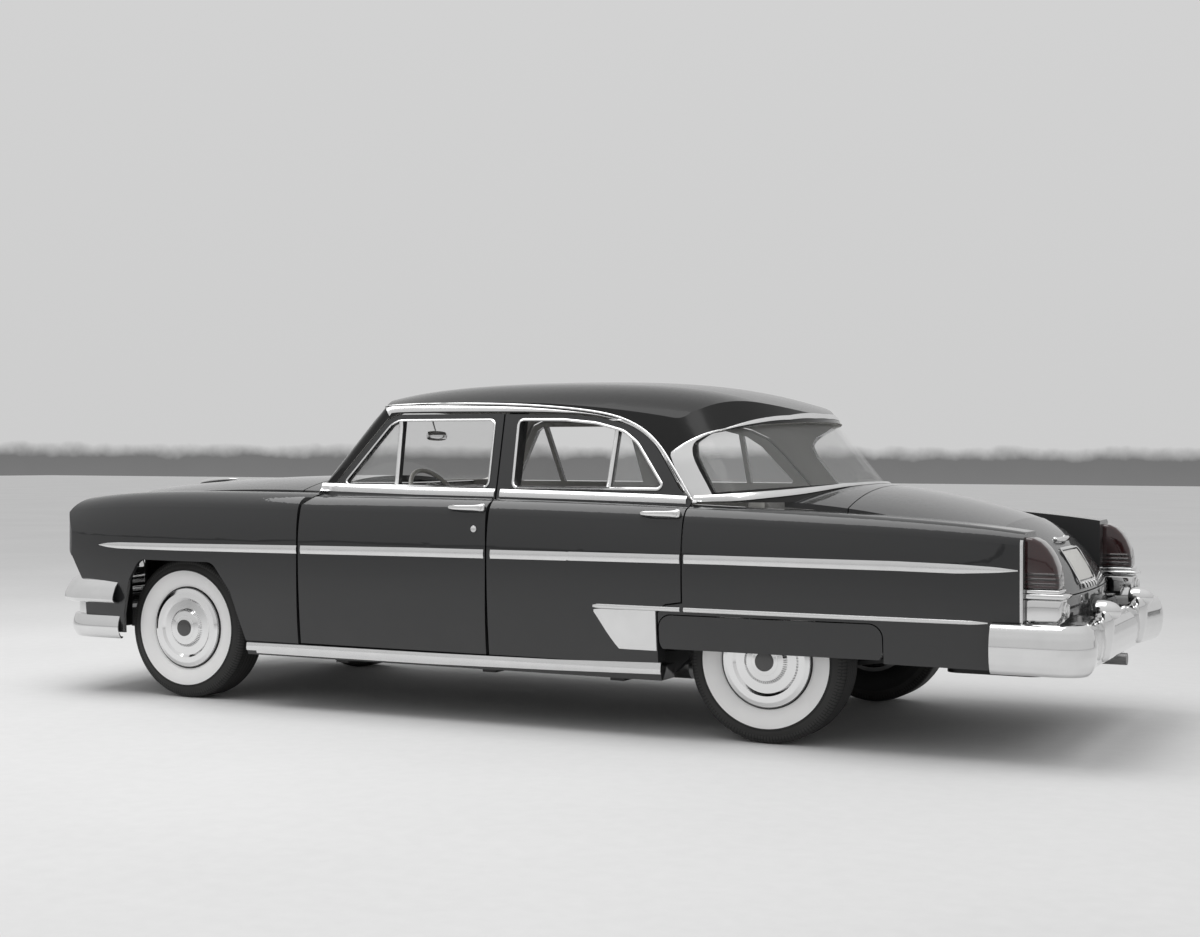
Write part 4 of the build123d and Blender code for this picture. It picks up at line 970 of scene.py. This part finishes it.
def slab(name, outline, y0, y1, rounding):
    """An extruded side outline with its sharp edges rounded."""
    piece = extruded(name, outline, y0, y1)
    changed(piece, "BEVEL", width=rounding / 1000, segments=4, limit_method="ANGLE", angle_limit=radians(40))
    soft_within(50)
    return piece


lens_curve = [(-2436, 912), (-2466, 908), (-2494, 894), (-2520, 868), (-2541, 836), (-2557, 796), (-2566, 752),
              (-2568, 704)]
lens = slab("tail_lens_left", [(-2420, 704), (-2420, 912), *lens_curve], 772, 889, 16)
rim = slab("rim", [(-2424, 690), (-2424, 705), (-2572, 705), (-2572, 690)], 768, 893, 4)
ledge = slab("ledge", [(-2424, 668), (-2424, 689), (-2588, 689), (-2596, 679), (-2588, 668)], 762, 899, 5)
base = slab("base", [(-2424, 560), (-2424, 667), (-2578, 667), (-2576, 600), (-2564, 566)], 768, 892, 10)
for piece in paired(lens, CAR, tail_glass):
    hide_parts("tail_lamp_lenses")
for piece in paired(joined("tail_housing_left", base, ledge, rim)):
    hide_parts("tail_lamp_housings")
y, z = 830, 622
back_bezel = [((-2570, y, z), 30, 36), ((-2584, y, z), 31, 37), ((-2588, y, z), 28, 33)]
paired(disc("back_lamp_left", (-2588, y, z), 27, 12, axis="X", rim=-2.0), CAR, lamp_glass)
paired(drawn("back_bezel_left", back_bezel, points=24, smooth=1))

# %% Luggage lid: pull handle, plate frame, blank plate and bars
def lid_x(z, y=0):
    """How far back the lid's rear face lies at a height, in mm."""
    return meet(["luggage_lid", "rear_panel"], (-3.2, y / 1000, z / 1000), (1, 0, 0)).x * 1000


z = 872
x = lid_x(z)
pull = drawn("pull", [((x - 10, -118, z), 5, 6), ((x - 20, -106, z), 8, 9), ((x - 26, -60, z), 9, 12),
                      ((x - 28, 0, z), 9, 13), ((x - 26, 60, z), 9, 12), ((x - 20, 106, z), 8, 9),
                      ((x - 10, 118, z), 5, 6)], axis="Y")
feet = [drawn("foot", [((x + 6, y, z), 14, 12), ((x - 4, y, z), 14, 12), ((x - 18, y, z), 9, 7)]) for y in (-100, 100)]
fitted(joined("lid_handle", pull, *feet), "luggage_lid")
ring = rounded([(-168, 694), (168, 694), (168, 828), (-168, 828)], 16)
rows = [[(lid_x(spot.y, spot.x), *spot) for spot in pair] for pair in zip(pushed_out(ring, 0), pushed_out(ring, 11))]
laid_strip("plate_frame", rows, ["luggage_lid"], "luggage_lid", plating, away=(-1, 0, 0), rise=9, crown=3)
rows = [((lid_x(700), y, 700), (lid_x(822), y, 822)) for y in (-152, -76, 0, 76, 152)]
laid_strip("blank_plate", rows, ["luggage_lid"], "luggage_lid", ivory, away=(-1, 0, 0), rise=5, slot="trim_paint")
bars = []
for y in (-120, -60, 0, 60, 120):
    bars.append(drawn("bar", [((lid_x(694, y) - 12, y, 690), 7, 6), ((lid_x(680, y) - 14, y, 680), 8, 7),
                              ((lid_x(662, y) - 12, y, 662), 7, 6)], axis="Z", points=10, smooth=1))
fitted(joined("plate_bars", *bars), "luggage_lid")
print("tail dressed")

# %% [markdown]
# ## Bench seats
# Each bench is a cushion and a back: springs and padding under tight cloth. A block with the
# seat's side section is remeshed, swollen a little by pressure in a short cloth simulation, held
# to a few centimetres of movement, and then sewn: the pleats are pressed in after the swelling.

# %% A padded block
swelling_frames = 20


def padded_block(name, outline, half, swell, voxel=0.013):
    """A side section extruded across the car, then swollen like a stuffed cover."""
    block = extruded(name, outline, -half, half)
    changed(block, "BEVEL", width=0.022, segments=3)
    changed(block, "REMESH", mode="VOXEL", voxel_size=voxel)
    before = [vertex.co.copy() for vertex in block.data.vertices]
    stuffing = block.modifiers.new("stuffing", "CLOTH")
    stuffing.settings.use_pressure = True
    stuffing.settings.uniform_pressure_force = 4.0
    stuffing.settings.effector_weights.gravity = 0.0
    stuffing.point_cache.frame_start, stuffing.point_cache.frame_end = 1, swelling_frames
    for frame_number in range(1, swelling_frames + 1):
        bpy.context.scene.frame_set(frame_number)
    bpy.ops.object.modifier_apply(modifier=stuffing.name)
    places = []
    for vertex, start in zip(block.data.vertices, before):
        move = vertex.co - start
        places += (start + move * min(1.0, swell / max(move.length, 1e-9)))[:]
    block.data.vertices.foreach_set("co", places)
    bpy.context.scene.frame_set(1)
    changed(block, "SUBSURF", levels=1, render_levels=1)
    return block


def sewn(block, face_way, reach, pitch=0.058, depth=0.006, seam=0.011):
    """Presses pleats into the side that looks along face_way, within reach of the middle."""
    look = Vector(face_way).normalized()
    outward = [vertex.normal.copy() for vertex in block.data.vertices]
    places = []
    for vertex, normal in zip(block.data.vertices, outward):
        off = abs((vertex.co.y / pitch + 0.5) % 1.0 - 0.5) * pitch
        edge = abs(abs(vertex.co.y) - reach)
        press = max(0.0, 1 - (off / seam) ** 2) + max(0.0, 1 - (edge / seam) ** 2)
        inside = normal.dot(look) > 0.35 and abs(vertex.co.y) < reach
        places += (vertex.co - normal * depth * press * inside)[:]
    block.data.vertices.foreach_set("co", places)
    block.data.update()


pleated_half = 0.545
benches = [
    ("front_cushion", [(318, 466), (326, 640), (296, 664), (-176, 640), (-300, 640), (-308, 466)], 664, (0, 0, 1)),
    ("front_back", [(-200, 655), (-286, 1034), (-304, 1054), (-364, 1052), (-352, 900), (-322, 655)], 664, (1, 0, 0.2)),
    ("rear_cushion", [(-578, 600), (-566, 664), (-598, 690), (-1016, 664), (-1150, 664), (-1160, 600)], 580, (0, 0, 1)),
    ("rear_back", [(-1052, 690), (-1122, 1034), (-1140, 1052), (-1200, 1050), (-1196, 850), (-1176, 690)], 578,
     (1, 0, 0.2)),
]


def bench_cloth(space):
    x, y, z = axes(place(space))
    warp, weft = y.wave(0.0016), (x + z).wave(0.0016)
    fleck = speckle(space, 900.0, 3.0)
    insert = y.size() < pleated_half
    grey = blend(space, fleck, tone(0.13, (1.0, 0.99, 0.97)), tone(0.24, (1.0, 0.99, 0.97)))
    edging = blend(space, fleck, tone(0.58, cream), tone(0.68, cream))
    return {"Base Color": blend(space, insert, edging, grey), "Roughness": 0.55 + insert * 0.3,
            "Normal": relief(space, warp * weft * insert + fleck * 0.4, 0.25, 0.0006)}


seat_cloth = finish("bench_cloth", bench_cloth, Sheen_Weight=0.2)
for name, outline, half, way in benches:
    bench = padded_block(name, outline, half, swell=0.024)
    sewn(bench, way, pleated_half)
    chosen_only(bench)
    bpy.ops.object.shade_smooth()
    fitted(bench, CAR, seat_cloth)
    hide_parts(name.split("_")[0] + "_seat")
    print(name, len(bench.data.polygons), "faces")

# %% [markdown]
# ## Inside the cabin and on the hood
# Seen through the glass are the mirror on its stalk, a bright horn ring, and dark dials. The
# slender dart on the hood is a plain streamlined form.

# %% Mirror, horn ring, dials and hood dart
mirror = drawn("mirror_body", [((846, -104, 1334), 8, 16), ((845, -100, 1334), 10, 24), ((838, 0, 1334), 11, 28),
                               ((832, 100, 1334), 10, 24), ((832, 104, 1334), 8, 16)], axis="Y", points=16, smooth=1)
stalk = drawn("stalk", [((846, 0, 1352), 6, 6), ((856, 0, 1380), 5, 5), ((872, 0, 1432), 7, 7)], axis="Z", points=8)
fitted(joined("rear_view_mirror", mirror, stalk))
wheel_middle, column_way = Vector((0.566, 0.400, 0.978)), Vector((-0.8344, 0, 0.5512))
lean = column_way.to_track_quat("Z", "Y").to_euler()
horn_ring = started("horn_ring", bpy.ops.mesh.primitive_torus_add, major_radius=0.128, minor_radius=0.0045,
                    major_segments=64, minor_segments=10, location=wheel_middle + column_way * 0.012, rotation=lean)
bpy.ops.object.transform_apply(location=True, rotation=True, scale=True)
bpy.ops.object.shade_smooth()
fitted(horn_ring, "steering_wheel")
for word, y in (("speed", 400), ("clock", -420)):
    face_x = meet(["dashboard"], (0.4, y / 1000, 0.99), (1, 0, 0)).x * 1000
    dial = disc(f"dial_{word}", (face_x + 2, y, 990), 52, 14, axis="X", rim=-3.0, points=40)
    fitted(dial, CAR, medal_enamel)
z = meet(["hood_panel"], (2.3, 0, 2), (0, 0, -1)).z * 1000
dart = drawn("hood_dart", [((2130, 0, z + 24), 2, 2), ((2160, 0, z + 24), 7, 6), ((2240, 0, z + 22), 14, 13),
                           ((2330, 0, z + 14), 15, 15), ((2380, 0, z + 6), 11, 11), ((2402, 0, z + 1), 3, 3)])
fitted(dart, "hood")
print("cabin and hood dressed")

# %% [markdown]
# ## Light and floor
# Plain soft light lets a colour show about as it is written. One wide lamp overhead stands in for
# a bright hazy sky. Glossy paint and plating also need something to mirror: a pale sky over a low
# dark treeline, as on an open field. The camera, the metal and the glass all see the same one.

# %% World, lamp, floor
world = bpy.data.worlds.new("studio")
bpy.context.scene.world = world
world.use_nodes = True
sky = Reading(world.node_tree)
backdrop = sky.tree.nodes["Background"]
way_out = sky.node("ShaderNodeTexCoord", output="Generated")
height = axes(way_out)[2] + (0.5 - speckle(sky, 70.0, 5.0, way_out)) * 0.008
horizon = [(0.0, tone(0.62)), (0.488, tone(0.62)), (0.4895, tone(0.24)), (0.5018, tone(0.20)),
           (0.5033, tone(0.72)), (0.75, tone(0.80)), (1.0, tone(0.95))]
shade = sky.node("ShaderNodeValToRGB", {"stops": horizon}, {"Fac": height * 0.5 + 0.5})
sky.tree.links.new(shade.socket, backdrop.inputs["Color"])
backdrop.inputs["Strength"].default_value = 0.85

bpy.ops.object.light_add(type="AREA", location=(1.5, 1.5, 7.5))
sky_lamp = bpy.context.object
sky_lamp.data.shape, sky_lamp.data.size, sky_lamp.data.size_y = "RECTANGLE", 9, 6
sky_lamp.data.energy = 420
sky_lamp.rotation_euler = (radians(-8), radians(8), 0)

floor = started("floor", bpy.ops.mesh.primitive_grid_add, x_subdivisions=2, y_subdivisions=2, size=160)


def concrete(space):
    coarse, fine = speckle(space, 0.6, 5.0), speckle(space, 14.0, 5.0)
    return {"Base Color": blend(space, coarse * 0.6 + fine * 0.4, tone(0.60), tone(0.74)),
            "Normal": relief(space, fine, 0.2, 0.004)}


floor.data.materials.append(finish("pale_concrete", concrete, Roughness=0.9))
